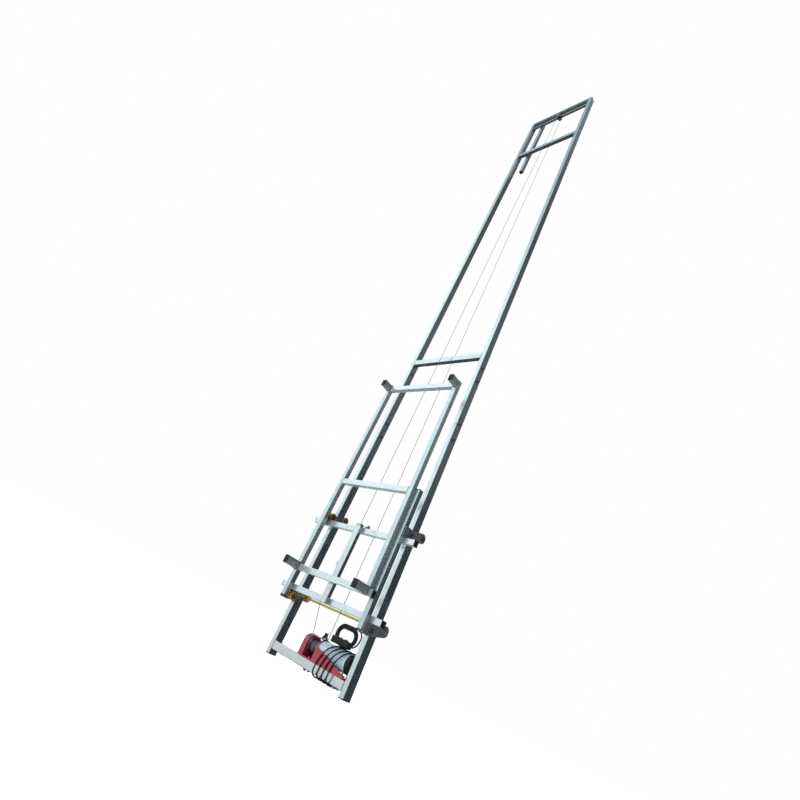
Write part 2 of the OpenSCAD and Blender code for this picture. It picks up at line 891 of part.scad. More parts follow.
module rope_anchor() {
    clamp_grip = tube_wall + 2 * clamp_washer_t + 2 * rope_seat + rope_d;
    color(zinc) {
        span(
            [-anchor_w / 2, cradle_back, beam_top_z],
            [anchor_w / 2, beam_front, beam_top_z + anchor_h]);
        translate([clamp_x, clamp_y, beam_top_z - tube_wall])
            bolt(clamp_d, clamp_grip);
        for (z = [beam_top_z, tail_z + rope_r + rope_seat])
            translate([clamp_x, clamp_y, z])
                cylinder(r = clamp_washer_r, h = clamp_washer_t);
        span(
            [-spine_w / 2 - saddle_w, anchor_y - saddle_d / 2, saddle_z],
            [-spine_w / 2, anchor_y + saddle_d / 2, saddle_z + saddle_h]);
    }
}

module downhaul_end() {
    tail_gap = face_gap + rope_r;
    color(wire) {
        rope([downhaul_x, anchor_y, downhaul_z], [downhaul_x, anchor_y, saddle_z]);
        rope(
            [anchor_w / 2 + tail_gap, anchor_y, tail_z],
            [clamp_x - clamp_d / 2 - tail_gap, clamp_y, tail_z]);
    }
}

// Winch

module winch_bolt_holes() {
    for (x = winch_bolt_x)
        for (y = [-winch_bolt_y, winch_bolt_y])
            translate([x, y, foot_z - cut])
                cylinder(d = winch_bolt_d + 2 * bolt_clear, h = rung_h + base_t + 2 * cut);
}

module winch_bolts() {
    color(zinc)
        for (x = winch_bolt_x)
            for (y = [-winch_bolt_y, winch_bolt_y])
                translate([x, y, base_top])
                    rotate([180, 0, 0])
                        bolt(winch_bolt_d, rung_h + base_t);
}

// An upright plate or case outline with a round top about the winch axis
module arch(x, l, inset) {
    span([x, base_y0 + inset, base_top + inset], [x + l, base_y1 - inset, axis_z]);
    along_x(x)
        cylinder(r = base_half - inset, h = l);
}

module winch_frame() {
    color(red)
        difference() {
            union() {
                span([case_x, base_y0, base_z], [winch_end_x, base_y1, base_top]);
                arch(left_plate_x, plate_t, 0);
                arch(right_plate_x, plate_t, 0);
                translate([0, base_y0 + plate_t, 0])
                    rotate([90, 0, 0])
                        linear_extrude(plate_t)
                            polygon([
                                [right_plate_x, base_z], [winch_end_x, base_z],
                                [winch_end_x, base_top + gusset_low],
                                [right_plate_x, base_top + gusset_high]]);
            }
            winch_bolt_holes();
            hole_x(left_plate_x, plate_t, winch_y, axis_z, 2 * (hub_r + run_fit));
            hole_x(right_plate_x, plate_t, winch_y, axis_z, 2 * (hub_r + run_fit));
            hole_x(left_plate_x, plate_t, mesh_y, mesh_z, 2 * (motor_shaft_r + run_fit));
        }
}

module drum_guard() {
    x0 = left_plate_x + plate_t;
    l = right_plate_x - x0;
    color(red) {
        intersection() {
            difference() {
                along_x(x0)
                    cylinder(r = guard_r, h = l);
                along_x(x0 - cut)
                    cylinder(r = guard_r - guard_t, h = l + 2 * cut);
            }
            span([x0, winch_y - guard_half, axis_z], [x0 + l, winch_y + guard_half, axis_z + guard_r + cut]);
        }
        for (x = [lever_x - lever_w / 2 - pin_l, lever_x + lever_w / 2 + ear_play])
            ear(x);
    }
}

module ear(x) {
    difference() {
        union() {
            along_x(x, winch_y, lever_z)
                cylinder(r = ear_r, h = ear_t);
            span([x, winch_y - ear_r, axis_z + guard_r - guard_t], [x + ear_t, winch_y + ear_r, lever_z]);
        }
        hole_x(x, ear_t, winch_y, lever_z, 2 * (lever_pin_r + run_fit));
    }
}

module limit_lever() {
    color(black) {
        along_x(lever_x - lever_w / 2, winch_y, lever_z)
            cylinder(r = lever_hub_r, h = lever_w);
        along_x(lever_x - lever_w / 2 - pin_l, winch_y, lever_z)
            cylinder(r = lever_pin_r, h = lever_w + 2 * pin_l);
        span(
            [lever_x - lever_w / 2, winch_y - lever_t / 2, lever_z],
            [lever_x + lever_w / 2, winch_y + lever_t / 2, lever_z + lever_h]);
    }
}

module gear_case() {
    color(red)
        difference() {
            union() {
                difference() {
                    arch(case_x, case_l, 0);
                    arch(case_x + case_wall, case_l, case_wall);
                }
                along_x(case_x + case_wall / 2)
                    cylinder(r = boss_r, h = case_wall / 2 + boss_l);
                along_x(case_x + case_wall / 2, mesh_y, mesh_z)
                    cylinder(r = boss_r, h = case_wall / 2 + boss_l);
            }
            along_x(case_x + boss_floor)
                cylinder(r = motor_shaft_r + run_fit, h = case_l);
            along_x(case_x + boss_floor, mesh_y, mesh_z)
                cylinder(r = motor_shaft_r + run_fit, h = case_l);
        }
}

module rope_drum() {
    drum_x0 = barrel_x0 - flange_t;
    drum_x1 = barrel_x1 + flange_t;
    hub_end = right_plate_x + plate_t - end_play;
    color(zinc)
        difference() {
            union() {
                along_x(drum_gear_x)
                    cylinder(r = hub_r, h = hub_end - drum_gear_x);
                along_x(drum_x0)
                    cylinder(r = barrel_r, h = drum_x1 - drum_x0);
                for (x = [drum_x0, barrel_x1])
                    along_x(x)
                        cylinder(r = flange_r, h = flange_t);
            }
            hole_x(drum_gear_x, hub_end - drum_gear_x, winch_y, axis_z, 2 * drum_bore_r);
        }
}

// A spur gear outline whose tips stay a little inside the pitch circle
module gear(teeth, w) {
    tip = gear_module * teeth / 2 - gear_gap;
    root = tip - tooth_h;
    step = 360 / teeth;
    marks = [
        [root, -tooth_root_share], [tip, -tooth_tip_share],
        [tip, tooth_tip_share], [root, tooth_root_share]];
    linear_extrude(w)
        polygon([for (i = [0:teeth - 1]) for (m = marks)
            m[0] * [cos(step * (i + m[1])), sin(step * (i + m[1]))]]);
}

module drum_gear() {
    color(zinc)
        along_x(drum_gear_x)
            difference() {
                gear(drum_teeth, drum_gear_w);
                translate([0, 0, -cut])
                    cylinder(r = hub_r + run_fit, h = drum_gear_w + 2 * cut);
            }
}

module intermediate_gear() {
    end = left_plate_x + plate_t - end_play;
    color(zinc) {
        along_x(shaft_end_x, mesh_y, mesh_z)
            cylinder(r = motor_shaft_r, h = end - shaft_end_x);
        along_x(large_gear_x, mesh_y, mesh_z)
            gear(large_teeth, large_gear_w);
        along_x(drum_gear_x, mesh_y, mesh_z)
            gear(small_teeth, drum_gear_w);
    }
}

module motor_rotor() {
    color(zinc) {
        along_x(shaft_end_x)
            cylinder(r = motor_shaft_r, h = cover_x + cover_floor - end_play - shaft_end_x);
        along_x(large_gear_x)
            gear(pinion_teeth, large_gear_w);
        along_x(stator_x + (stator_l - rotor_l) / 2)
            cylinder(r = rotor_r, h = rotor_l);
    }
}

module motor_stator() {
    color(copper)
        along_x(stator_x)
            difference() {
                cylinder(r = motor_bore_r - stator_fit, h = stator_l);
                translate([0, 0, -cut])
                    cylinder(r = rotor_r + air_gap, h = stator_l + 2 * cut);
            }
}

module motor_casing() {
    color(silver)
        difference() {
            union() {
                along_x(motor_x)
                    cylinder(r = shell_r, h = motor_l);
                along_x(motor_x)
                    cylinder(r = motor_r, h = motor_wall);
                along_x(motor_x)
                    for (i = [0:fin_count - 1])
                        rotate([0, 0, 360 * i / fin_count])
                            translate([shell_r - fin_h, -fin_w / 2, 0])
                                cube([2 * fin_h, fin_w, motor_l]);
            }
            along_x(motor_x + motor_wall)
                cylinder(r = motor_bore_r, h = motor_l);
            hole_x(motor_x, motor_wall, winch_y, axis_z, 2 * (motor_shaft_r + run_fit));
        }
}

module motor_end_cover() {
    color(black)
        difference() {
            along_x(cover_x)
                cylinder(r = motor_r, h = cover_l);
            along_x(cover_x + cover_floor)
                cylinder(r = motor_r - cover_wall, h = cover_l - cover_floor - cover_wall);
            along_x(cover_x - cut)
                cylinder(r = motor_shaft_r + run_fit, h = cover_floor + 2 * cut);
        }
}

module control_box() {
    z = base_top + box_lift;
    x1 = right_plate_x + plate_t;
    color(black) {
        span([left_plate_x, base_y1, z], [x1, base_y1 + box_d - lid_d, z + box_h]);
        span(
            [left_plate_x + lid_inset, base_y1 + box_d - lid_d, z + lid_inset],
            [x1 - lid_inset, base_y1 + box_d, z + box_h - lid_inset]);
    }
}

module cord_glands() {
    color(black)
        for (z = gland_z)
            along_x(right_plate_x + plate_t, gland_y, z) {
                cylinder(r = gland_nut_r, h = gland_nut_l, $fn = 6);
                cylinder(r1 = gland_boot_r, r2 = gland_tip_r, h = gland_l);
            }
}

// Cords and the pieces on them

module pendant_cord() {
    color(black) {
        sweep(smooth(pendant_route), cord_d, cord_sides, [0, 1, 0], [1, 0, 0], [-1, 0, 0]);
        sweep(smooth(handset_route), cord_d, cord_sides, [0, 1, 0], [1, 0, 0], [-1, 0, 0]);
    }
}

module pendant_coil() {
    color(black)
        sweep(coil_path, cord_d, wound_sides, [0, 1, 0], [-1, 0, 0], [1, 0, 0]);
}

module power_cord() {
    color(black) {
        sweep(smooth(power_route), cord_d, cord_sides, [0, 1, 0], [1, 0, 0], [0, 0, -1]);
        sweep(smooth(plug_route), cord_d, cord_sides, [0, 1, 0], [0, 0, -1], [0, 0, -1]);
    }
}

module power_cord_wraps() {
    color(black)
        sweep(wrap_path, cord_d, wound_sides, [1, 0, 0], [0, 0, -1], [0, 0, -1]);
}

module power_plug() {
    top = plug_route[len(plug_route) - 1];
    color(black) {
        translate(top - [0, 0, plug_body_h])
            cylinder(r = plug_body_r, h = plug_body_h);
        for (s = [-1, 1])
            translate(top + [s * plug_pin_gap / 2, 0, -plug_body_h - plug_pin_l])
                cylinder(r = plug_pin_r, h = plug_pin_l + cut);
    }
}

module pendant_casing() {
    color(black) {
        difference() {
            span(
                [pendant_x, pendant_y - pendant_w / 2, pendant_z],
                [pendant_x + pendant_l, pendant_y + pendant_w / 2, pendant_z + pendant_h]);
            for (i = [0:2])
                translate([button_x[i], pendant_y, pendant_z + pendant_h - button_in - button_travel - cut])
                    cylinder(r = button_radius(i) + button_clear, h = button_in + button_travel + 2 * cut);
        }
        along_x(pendant_x + pendant_l, pendant_y, boot_z)
            cylinder(r = boot_r, h = boot_l);
    }
}

function button_radius(i) = i == 2 ? stop_button_r : button_r;

module button(i) {
    translate([button_x[i], pendant_y, pendant_z + pendant_h - button_in])
        cylinder(r = button_radius(i), h = button_in + button_out);
}

module up_button() color(green) button(0);
module down_button() color(silver) button(1);
module stop_button() color(red) button(2);

left_lower_rail();
right_lower_rail();
left_upper_rail();
right_upper_rail();
bottom_beam();
middle_rung();
upper_rung();
top_bar();
stop_tube();
splice_sleeves();
splice_bolts();
mast_end_plugs();
head_shaft();
winch_frame();
drum_guard();
gear_case();
motor_casing();
motor_end_cover();
motor_stator();
control_box();
cord_glands();
winch_bolts();
hoist_rope_run();
hoist_rope_fall();
downhaul_rope();
pendant_cord();
pendant_coil();
pendant_casing();
power_cord();
power_cord_wraps();
power_plug();
head_sheave();
rope_drum();
drum_gear();
rope_winding();
motor_rotor();
intermediate_gear();
limit_lever();
up_button();
down_button();
stop_button();
left_stile();
right_stile();
upper_axle_beam();
lower_axle_beam();
centre_spine();
left_cradle_tube();
right_cradle_tube();
cradle_crossbars();
load_prongs();
roller_brackets();
roller_axles();
tie_rod();
carriage_end_plugs();
rope_anchor();
downhaul_end();
upper_front_rollers();
upper_rear_rollers();
lower_front_rollers();
lower_rear_rollers();
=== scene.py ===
import json
import math

import bmesh
import bpy
from mathutils import Matrix, Vector


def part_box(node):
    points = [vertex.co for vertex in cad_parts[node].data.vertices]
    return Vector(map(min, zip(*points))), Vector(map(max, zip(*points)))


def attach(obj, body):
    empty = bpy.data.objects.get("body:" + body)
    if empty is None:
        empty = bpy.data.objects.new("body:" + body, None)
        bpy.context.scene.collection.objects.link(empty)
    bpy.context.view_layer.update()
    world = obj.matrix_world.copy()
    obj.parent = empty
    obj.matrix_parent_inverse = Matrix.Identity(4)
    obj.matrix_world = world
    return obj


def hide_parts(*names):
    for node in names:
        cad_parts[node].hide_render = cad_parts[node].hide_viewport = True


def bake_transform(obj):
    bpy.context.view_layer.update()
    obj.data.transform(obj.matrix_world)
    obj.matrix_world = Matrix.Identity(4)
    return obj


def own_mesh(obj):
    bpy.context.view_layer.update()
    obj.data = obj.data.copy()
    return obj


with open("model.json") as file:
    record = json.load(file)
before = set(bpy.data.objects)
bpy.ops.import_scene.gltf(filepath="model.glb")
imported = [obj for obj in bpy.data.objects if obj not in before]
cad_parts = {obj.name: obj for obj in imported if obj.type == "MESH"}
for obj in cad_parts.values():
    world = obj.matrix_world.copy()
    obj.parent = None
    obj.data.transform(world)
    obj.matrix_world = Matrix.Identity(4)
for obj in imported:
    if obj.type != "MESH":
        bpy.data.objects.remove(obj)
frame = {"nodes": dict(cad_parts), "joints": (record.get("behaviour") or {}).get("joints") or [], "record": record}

mm = 0.001
parallel = 0.9  # cosine above which two directions count as one
weldGap = 0.002 * mm  # points closer than this become one
copyGap = 0.01 * mm
sharpAngle = math.radians(32)  # steeper edges stay sharp
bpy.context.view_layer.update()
cadNodes = frame["nodes"]
bodies = frame["record"]["behaviour"]["bodies"]
nodeBody = {node: body for body, members in bodies.items() for node in members}
nodeSlot = {part["node"]: part["material_slot"] for part in frame["record"]["subparts"]}
print("stage: frame loaded")


# Shader sockets that take part in sums

class Shade:
    def __init__(self, tree, socket=None):
        self.tree = tree
        self.socket = socket

    def make(self, kind, settings=None, inputs=None, out=0):
        node = self.tree.nodes.new(kind)
        for name, value in (settings or {}).items():
            setattr(node, name, value)
        for name, value in (inputs or {}).items():
            self.feed(node, name, value)
        return Shade(self.tree, node.outputs[out])

    def feed(self, node, name, value):
        if isinstance(value, Shade):
            self.tree.links.new(value.socket, node.inputs[name])
        else:
            node.inputs[name].default_value = value

    def sum(self, operation, first, second):
        return self.make("ShaderNodeMath", {"operation": operation}, {0: first, 1: second})

    def __add__(self, other):
        return self.sum("ADD", self, other)

    def __radd__(self, other):
        return self.sum("ADD", other, self)

    def __sub__(self, other):
        return self.sum("SUBTRACT", self, other)

    def __rsub__(self, other):
        return self.sum("SUBTRACT", other, self)

    def __mul__(self, other):
        return self.sum("MULTIPLY", self, other)

    def __rmul__(self, other):
        return self.sum("MULTIPLY", other, self)


def noise(coords, scale, detail=3):
    return coords.make(
        "ShaderNodeTexNoise", inputs={"Vector": coords, "Scale": scale, "Detail": detail}, out="Fac")


def cells(coords, scale):
    colour = coords.make("ShaderNodeTexVoronoi", inputs={"Vector": coords, "Scale": scale}, out="Color")
    return coords.make("ShaderNodeSeparateColor", inputs={"Color": colour}, out="Red")


def bands(coords, scale, distortion=0):
    return coords.make(
        "ShaderNodeTexWave", {"bands_direction": "DIAGONAL"},
        {"Vector": coords, "Scale": scale, "Distortion": distortion}, out="Fac")


def stretched(coords, scale):
    return coords.make("ShaderNodeVectorMath", {"operation": "MULTIPLY"}, {0: coords, 1: scale})


def between(value, low, high):
    return value.make(
        "ShaderNodeMapRange", inputs={"Value": value, "From Min": low, "From Max": high}, out="Result")


def mixed(factor, first, second):
    return factor.make("ShaderNodeMix", {"data_type": "RGBA"}, {0: factor, 6: first, 7: second}, out=2)


def bumped(height, strength, distance):
    return height.make(
        "ShaderNodeBump", inputs={"Strength": strength, "Distance": distance, "Height": height}, out="Normal")


def startMaterial(name):
    material = bpy.data.materials.new(name)
    material.use_nodes = True
    shade = Shade(material.node_tree)
    coords = shade.make("ShaderNodeTexCoord", out="Object")
    return material, coords, material.node_tree.nodes["Principled BSDF"]


def dress(coords, shader, values):
    for name, value in values.items():
        coords.feed(shader, name, value)


# Materials, each with its values above it. Scales are counts in a metre, rough is the least roughness

galvanised = {
    "spangle": 75, "patches": 3.5, "drawn": (90, 90, 4), "scuffs": 14, "scuffed": (0.60, 0.72),
    "scuff": (0.36, 0.39, 0.42, 1), "rough": 0.20, "bump": 0.04, "depth": 0.3 * mm,
}


def galvanisedSteel(name, dark, light, metal):
    material, coords, shader = startMaterial(name)
    spangle = cells(coords, galvanised["spangle"])
    patches = noise(coords, galvanised["patches"], 4)
    drawn = noise(stretched(coords, galvanised["drawn"]), 1)
    scuffs = between(noise(coords, galvanised["scuffs"], 5), *galvanised["scuffed"])
    clean = mixed(spangle * 0.3 + patches * 0.7, dark, light)
    dress(coords, shader, {
        "Base Color": mixed(scuffs * 0.3, clean, galvanised["scuff"]),
        "Metallic": metal - scuffs * 0.04,
        "Roughness": galvanised["rough"] + spangle * 0.04 + patches * 0.08 + scuffs * 0.12,
        "Normal": bumped(drawn, galvanised["bump"], galvanised["depth"]),
    })
    return material


zinc = {
    "grain": 420, "patches": 24, "tones": ((0.36, 0.38, 0.41, 1), (0.62, 0.64, 0.66, 1)),
    "rough": 0.24, "bump": 0.12, "depth": 0.2 * mm,
}


def zincSteel():
    material, coords, shader = startMaterial("zinc_steel")
    grain = noise(coords, zinc["grain"])
    patches = noise(coords, zinc["patches"], 4)
    dress(coords, shader, {
        "Base Color": mixed(patches, *zinc["tones"]),
        "Metallic": 1,
        "Roughness": zinc["rough"] + grain * 0.1 + patches * 0.12,
        "Normal": bumped(grain, zinc["bump"], zinc["depth"]),
    })
    return material


# The rod's ends, further out than plain, are painted darker as shade where they sit among the brackets
yellow = {
    "patches": 30, "streaks": (8, 260, 260), "streaked": (0.52, 0.75), "plain": (0.292, 0.298),
    "tones": ((0.56, 0.50, 0.09, 1), (0.78, 0.70, 0.18, 1)), "green": (0.46, 0.56, 0.22, 1),
    "endShade": (0.20, 0.20, 0.19, 1), "metal": 0.5, "rough": 0.25, "bump": 0.1, "depth": 0.2 * mm,
}


def yellowZinc():
    material, coords, shader = startMaterial("yellow_zinc")
    patches = noise(coords, yellow["patches"], 4)
    streaks = noise(stretched(coords, yellow["streaks"]), 1)
    reach = coords.make("ShaderNodeSeparateXYZ", inputs={0: coords}, out="X")
    # Mask for the rod's ends, where shade is painted in
    ends = between(reach * reach, *(x ** 2 for x in yellow["plain"]))
    passivated = mixed(patches, *yellow["tones"])
    streaked = mixed(between(streaks, *yellow["streaked"]) * 0.5, passivated, yellow["green"])
    dress(coords, shader, {
        "Base Color": mixed(ends * 0.9, streaked, yellow["endShade"]),
        "Metallic": yellow["metal"],
        "Roughness": yellow["rough"] + patches * 0.2,
        "Normal": bumped(streaks, yellow["bump"], yellow["depth"]),
    })
    return material


plastic = {
    "grain": 900, "patches": 45, "scuffs": (70, 70, 220), "scuffed": (0.6, 0.72), "bump": 0.18,
    "depth": 0.12 * mm,
}


def mouldedPlastic(name, dark, light, rough, gloss=0.5):
    material, coords, shader = startMaterial(name)
    grain = noise(coords, plastic["grain"], 2)
    patches = noise(coords, plastic["patches"], 4)
    scuffs = between(noise(stretched(coords, plastic["scuffs"]), 1, 4), *plastic["scuffed"])
    dress(coords, shader, {
        "Base Color": mixed(patches * 0.7 + scuffs * 0.3, dark, light),
        "Specular IOR Level": gloss,
        "Roughness": rough + patches * 0.12 + scuffs * 0.12,
        "Normal": bumped(grain, plastic["bump"], plastic["depth"]),
    })
    return material


paint = {
    "peel": 260, "patches": 16, "chips": 120, "chipped": (0.68, 0.71),
    "tones": ((0.25, 0.008, 0.026, 1), (0.40, 0.020, 0.054, 1)), "chip": (0.14, 0.05, 0.05, 1),
    "rough": 0.28, "coat": 0.5, "bump": 0.16, "depth": 0.25 * mm,
}


def redPaint():
    material, coords, shader = startMaterial("red_paint")
    peel = noise(coords, paint["peel"], 2)
    patches = noise(coords, paint["patches"], 4)
    chips = between(noise(coords, paint["chips"], 6), *paint["chipped"])
    dress(coords, shader, {
        "Base Color": mixed(chips, mixed(patches, *paint["tones"]), paint["chip"]),
        "Roughness": paint["rough"] + patches * 0.14 + chips * 0.3,
        "Coat Weight": paint["coat"] - chips * paint["coat"],
        "Normal": bumped(peel * 0.5 - chips, paint["bump"], paint["depth"]),
    })
    return material


aluminium = {
    "cast": 520, "patches": 22, "dust": 60, "dusty": (0.56, 0.74),
    "tones": ((0.56, 0.63, 0.72, 1), (0.72, 0.80, 0.88, 1)), "dirt": (0.40, 0.42, 0.44, 1),
    "metal": 0.4, "rough": 0.36, "bump": 0.25, "depth": 0.2 * mm,
}


def silverAluminium():
    material, coords, shader = startMaterial("silver_aluminium")
    cast = noise(coords, aluminium["cast"])
    patches = noise(coords, aluminium["patches"], 4)
    dust = between(noise(coords, aluminium["dust"], 6), *aluminium["dusty"])
    dress(coords, shader, {
        "Base Color": mixed(dust * 0.3, mixed(patches, *aluminium["tones"]), aluminium["dirt"]),
        "Metallic": aluminium["metal"] - dust * 0.2,
        "Roughness": aluminium["rough"] + cast * 0.1 + dust * 0.2,
        "Normal": bumped(cast, aluminium["bump"], aluminium["depth"]),
    })
    return material


copper = {
    "turns": 220, "along": (0.2, 1, 1), "wander": 1.5, "patches": 60,
    "tones": ((0.32, 0.12, 0.04, 1), (0.55, 0.26, 0.11, 1)), "metal": 0.8, "rough": 0.25, "bump": 0.5,
    "depth": 0.3 * mm,
}


def copperWinding():
    material, coords, shader = startMaterial("copper_winding")
    turns = bands(stretched(coords, copper["along"]), copper["turns"], copper["wander"])
    patches = noise(coords, copper["patches"])
    dress(coords, shader, {
        "Base Color": mixed(patches, *copper["tones"]),
        "Metallic": copper["metal"],
        "Roughness": copper["rough"] + turns * 0.2,
        "Normal": bumped(turns, copper["bump"], copper["depth"]),
    })
    return material


wire = {
    "lay": 160, "layWander": 0.4, "wires": 620, "wireWander": 0.2, "crossed": (1, 1, -1), "grease": 35,
    "greased": (0.55, 0.8), "tones": ((0.09, 0.09, 0.095, 1), (0.33, 0.34, 0.35, 1)),
    "greasy": (0.05, 0.045, 0.04, 1), "metal": 0.6, "rough": 0.32, "bump": 0.7, "depth": 0.4 * mm,
}


def wireRope():
    material, coords, shader = startMaterial("wire_rope")
    lay = bands(coords, wire["lay"], wire["layWander"])
    wires = bands(stretched(coords, wire["crossed"]), wire["wires"], wire["wireWander"])
    grease = noise(coords, wire["grease"], 4)
    steel = mixed(lay * 0.6 + wires * 0.4, *wire["tones"])
    dress(coords, shader, {
        "Base Color": mixed(between(grease, *wire["greased"]) * 0.5, steel, wire["greasy"]),
        "Metallic": wire["metal"],
        "Roughness": wire["rough"] + grease * 0.2,
        "Normal": bumped(lay + wires * 0.4, wire["bump"], wire["depth"]),
    })
    return material


rubber = {
    "grain": 700, "bloom": 40, "bloomed": (0.5, 0.75),
    "tones": ((0.008, 0.010, 0.012, 1), (0.030, 0.036, 0.040, 1)), "rough": 0.36, "bump": 0.2,
    "depth": 0.1 * mm,
}


def cordRubber():
    material, coords, shader = startMaterial("cord_rubber")
    grain = noise(coords, rubber["grain"])
    bloom = between(noise(coords, rubber["bloom"], 5), *rubber["bloomed"])
    dress(coords, shader, {
        "Base Color": mixed(bloom, *rubber["tones"]),
        "Roughness": rubber["rough"] + bloom * 0.2 + grain * 0.08,
        "Normal": bumped(grain, rubber["bump"], rubber["depth"]),
    })
    return material


amber = {
    "cast": 55, "grain": 600, "grime": 95, "grimy": (0.52, 0.72),
    "tones": ((0.26, 0.090, 0.006, 1), (0.50, 0.21, 0.018, 1)), "dirt": (0.14, 0.06, 0.01, 1),
    "rough": 0.28, "coat": 0.35, "bump": 0.15, "depth": 0.15 * mm,
}


def amberTyre():
    material, coords, shader = startMaterial("amber_polyurethane")
    cast = noise(coords, amber["cast"], 4)
    grain = noise(coords, amber["grain"])
    grime = between(noise(coords, amber["grime"], 6), *amber["grimy"])
    dress(coords, shader, {
        "Base Color": mixed(grime * 0.5, mixed(cast, *amber["tones"]), amber["dirt"]),
        "Roughness": amber["rough"] + grime * 0.3,
        "Coat Weight": amber["coat"] - grime * 0.3,
        "Normal": bumped(grain, amber["bump"], amber["depth"]),
    })
    return material


weld = {
    "heat": 70, "ripple": 340, "tones": ((0.27, 0.28, 0.30, 1), (0.60, 0.62, 0.64, 1)), "metal": 0.95,
    "rough": 0.34, "bump": 0.4, "depth": 0.4 * mm,
}


def weldBead():
    material, coords, shader = startMaterial("weld_bead")
    heat = noise(coords, weld["heat"], 4)
    ripple = noise(coords, weld["ripple"])
    dress(coords, shader, {
        "Base Color": mixed(heat, *weld["tones"]),
        "Metallic": weld["metal"],
        "Roughness": weld["rough"] + heat * 0.2,
        "Normal": bumped(ripple, weld["bump"], weld["depth"]),
    })
    return material


pale = {
    "patches": 1.5, "tones": ((0.90, 0.90, 0.90, 1), (0.93, 0.93, 0.93, 1)), "rough": 0.9,
    "glow": (1, 1, 1, 1), "glowing": 0.75,
}


def paleFloor():
    material, coords, shader = startMaterial("pale_floor")
    dress(coords, shader, {
        "Base Color": mixed(noise(coords, pale["patches"]), *pale["tones"]),
        "Roughness": pale["rough"],
        "Emission Color": pale["glow"],
        "Emission Strength": pale["glowing"],
    })
    return material


finishes = {
    "galvanised_steel": galvanisedSteel(
        "galvanised_steel", (0.60, 0.64, 0.66, 1), (0.82, 0.85, 0.87, 1), 0.98),
    "zinc_steel": zincSteel(),
    "black_plastic": mouldedPlastic(
        "black_plastic", (0.008, 0.009, 0.010, 1), (0.024, 0.026, 0.028, 1), 0.42, 0.2),
    "red_paint": redPaint(),
    "silver_aluminium": silverAluminium(),
    "copper_winding": copperWinding(),
    "wire_rope": wireRope(),
    "cord_rubber": cordRubber(),
    "yellow_zinc": yellowZinc(),
    "green_plastic": mouldedPlastic(
        "green_plastic", (0.010, 0.20, 0.07, 1), (0.025, 0.36, 0.13, 1), 0.3),
    "grey_plastic": mouldedPlastic("grey_plastic", (0.40, 0.42, 0.44, 1), (0.58, 0.60, 0.62, 1), 0.3),
    "red_plastic": mouldedPlastic("red_plastic", (0.42, 0.012, 0.010, 1), (0.60, 0.030, 0.022, 1), 0.3),
    "amber_polyurethane": amberTyre(),
}
beadFinish = weldBead()
# A lighter, bluer copy of galvanised steel for the cradle tubes: painted light
paintedLightCradleSteel = galvanisedSteel("painted_light_cradle_steel", (0.50, 0.57, 0.60, 1), (0.66, 0.74, 0.77, 1), 0.78)
# A darker, bluer copy for the stiles, standing in for the cradle's dark side reflected in them: painted reflection
# and shade
paintedShadeStileSteel = galvanisedSteel("painted_shade_stile_steel", (0.44, 0.53, 0.58, 1), (0.60, 0.70, 0.76, 1), 0.92)
# A dark copy of galvanised steel for the load prongs: painted shade
paintedShadeProngSteel = galvanisedSteel("painted_shade_prong_steel", (0.24, 0.26, 0.27, 1), (0.42, 0.44, 0.46, 1), 0.6)
# A dark copy of galvanised steel for the top bar: painted shade
paintedShadeTopSteel = galvanisedSteel("painted_shade_top_steel", (0.14, 0.15, 0.155, 1), (0.26, 0.28, 0.29, 1), 0.8)
# A dark copy of galvanised steel for the roller brackets: painted shade
paintedShadePlateSteel = galvanisedSteel("painted_shade_plate_steel", (0.16, 0.16, 0.158, 1), (0.30, 0.30, 0.296, 1), 0.6)
# A less metallic copy for the axle beams and crossbars, so they look more lit: painted light
paintedLightBeamSteel = galvanisedSteel("painted_light_beam_steel", (0.62, 0.67, 0.70, 1), (0.80, 0.84, 0.87, 1), 0.7)
# Nodes that take these lit and shaded copies instead of their own finish: painted light and shade
litAndShadedFinishes = {
    "left_stile": paintedShadeStileSteel, "right_stile": paintedShadeStileSteel, "left_cradle_tube": paintedLightCradleSteel,
    "right_cradle_tube": paintedLightCradleSteel, "load_prongs": paintedShadeProngSteel, "roller_brackets": paintedShadePlateSteel,
    "upper_axle_beam": paintedLightBeamSteel, "lower_axle_beam": paintedLightBeamSteel, "cradle_crossbars": paintedLightBeamSteel,
    "top_bar": paintedShadeTopSteel,
}
print("stage: materials made")


# Camera, light and floor

view = {
    "place": (1.8135, -1.7450, 0.2011),
    "right": (0.733853, 0.552446, 0.395302),
    "down": (-0.030615, 0.608223, -0.793176),
    "lens": 20.675,
    "sensor": 36,
    "near": 0.02,
    "far": 200,
}


def placeCamera():
    data = bpy.data.cameras.new("camera")
    data.lens = view["lens"]
    data.sensor_width = view["sensor"]
    data.clip_start = view["near"]
    data.clip_end = view["far"]
    camera = bpy.data.objects.new("camera", data)
    right = Vector(view["right"])
    up = -Vector(view["down"])
    turn = Matrix((right, up, right.cross(up))).transposed()
    camera.matrix_world = Matrix.Translation(view["place"]) @ turn.to_4x4()
    bpy.context.scene.collection.objects.link(camera)
    bpy.context.scene.camera = camera


# Bright from the front and left, dim from the right, the right back and below. The camera sees white
studio = {
    "low": (0.76, 0.80, 0.79, 1),
    "bright": (1.04, 1.22, 1.24, 1),
    "sky": (0.38, 0.50, 0.57, 1),
    "shadeLow": (0.024, 0.036, 0.040, 1),
    "shadeMiddle": (0.112, 0.134, 0.138, 1),
    "shadeHigh": (0.052, 0.060, 0.056, 1),
    "behind": (1.0, 1.0, 1.0, 1),
}
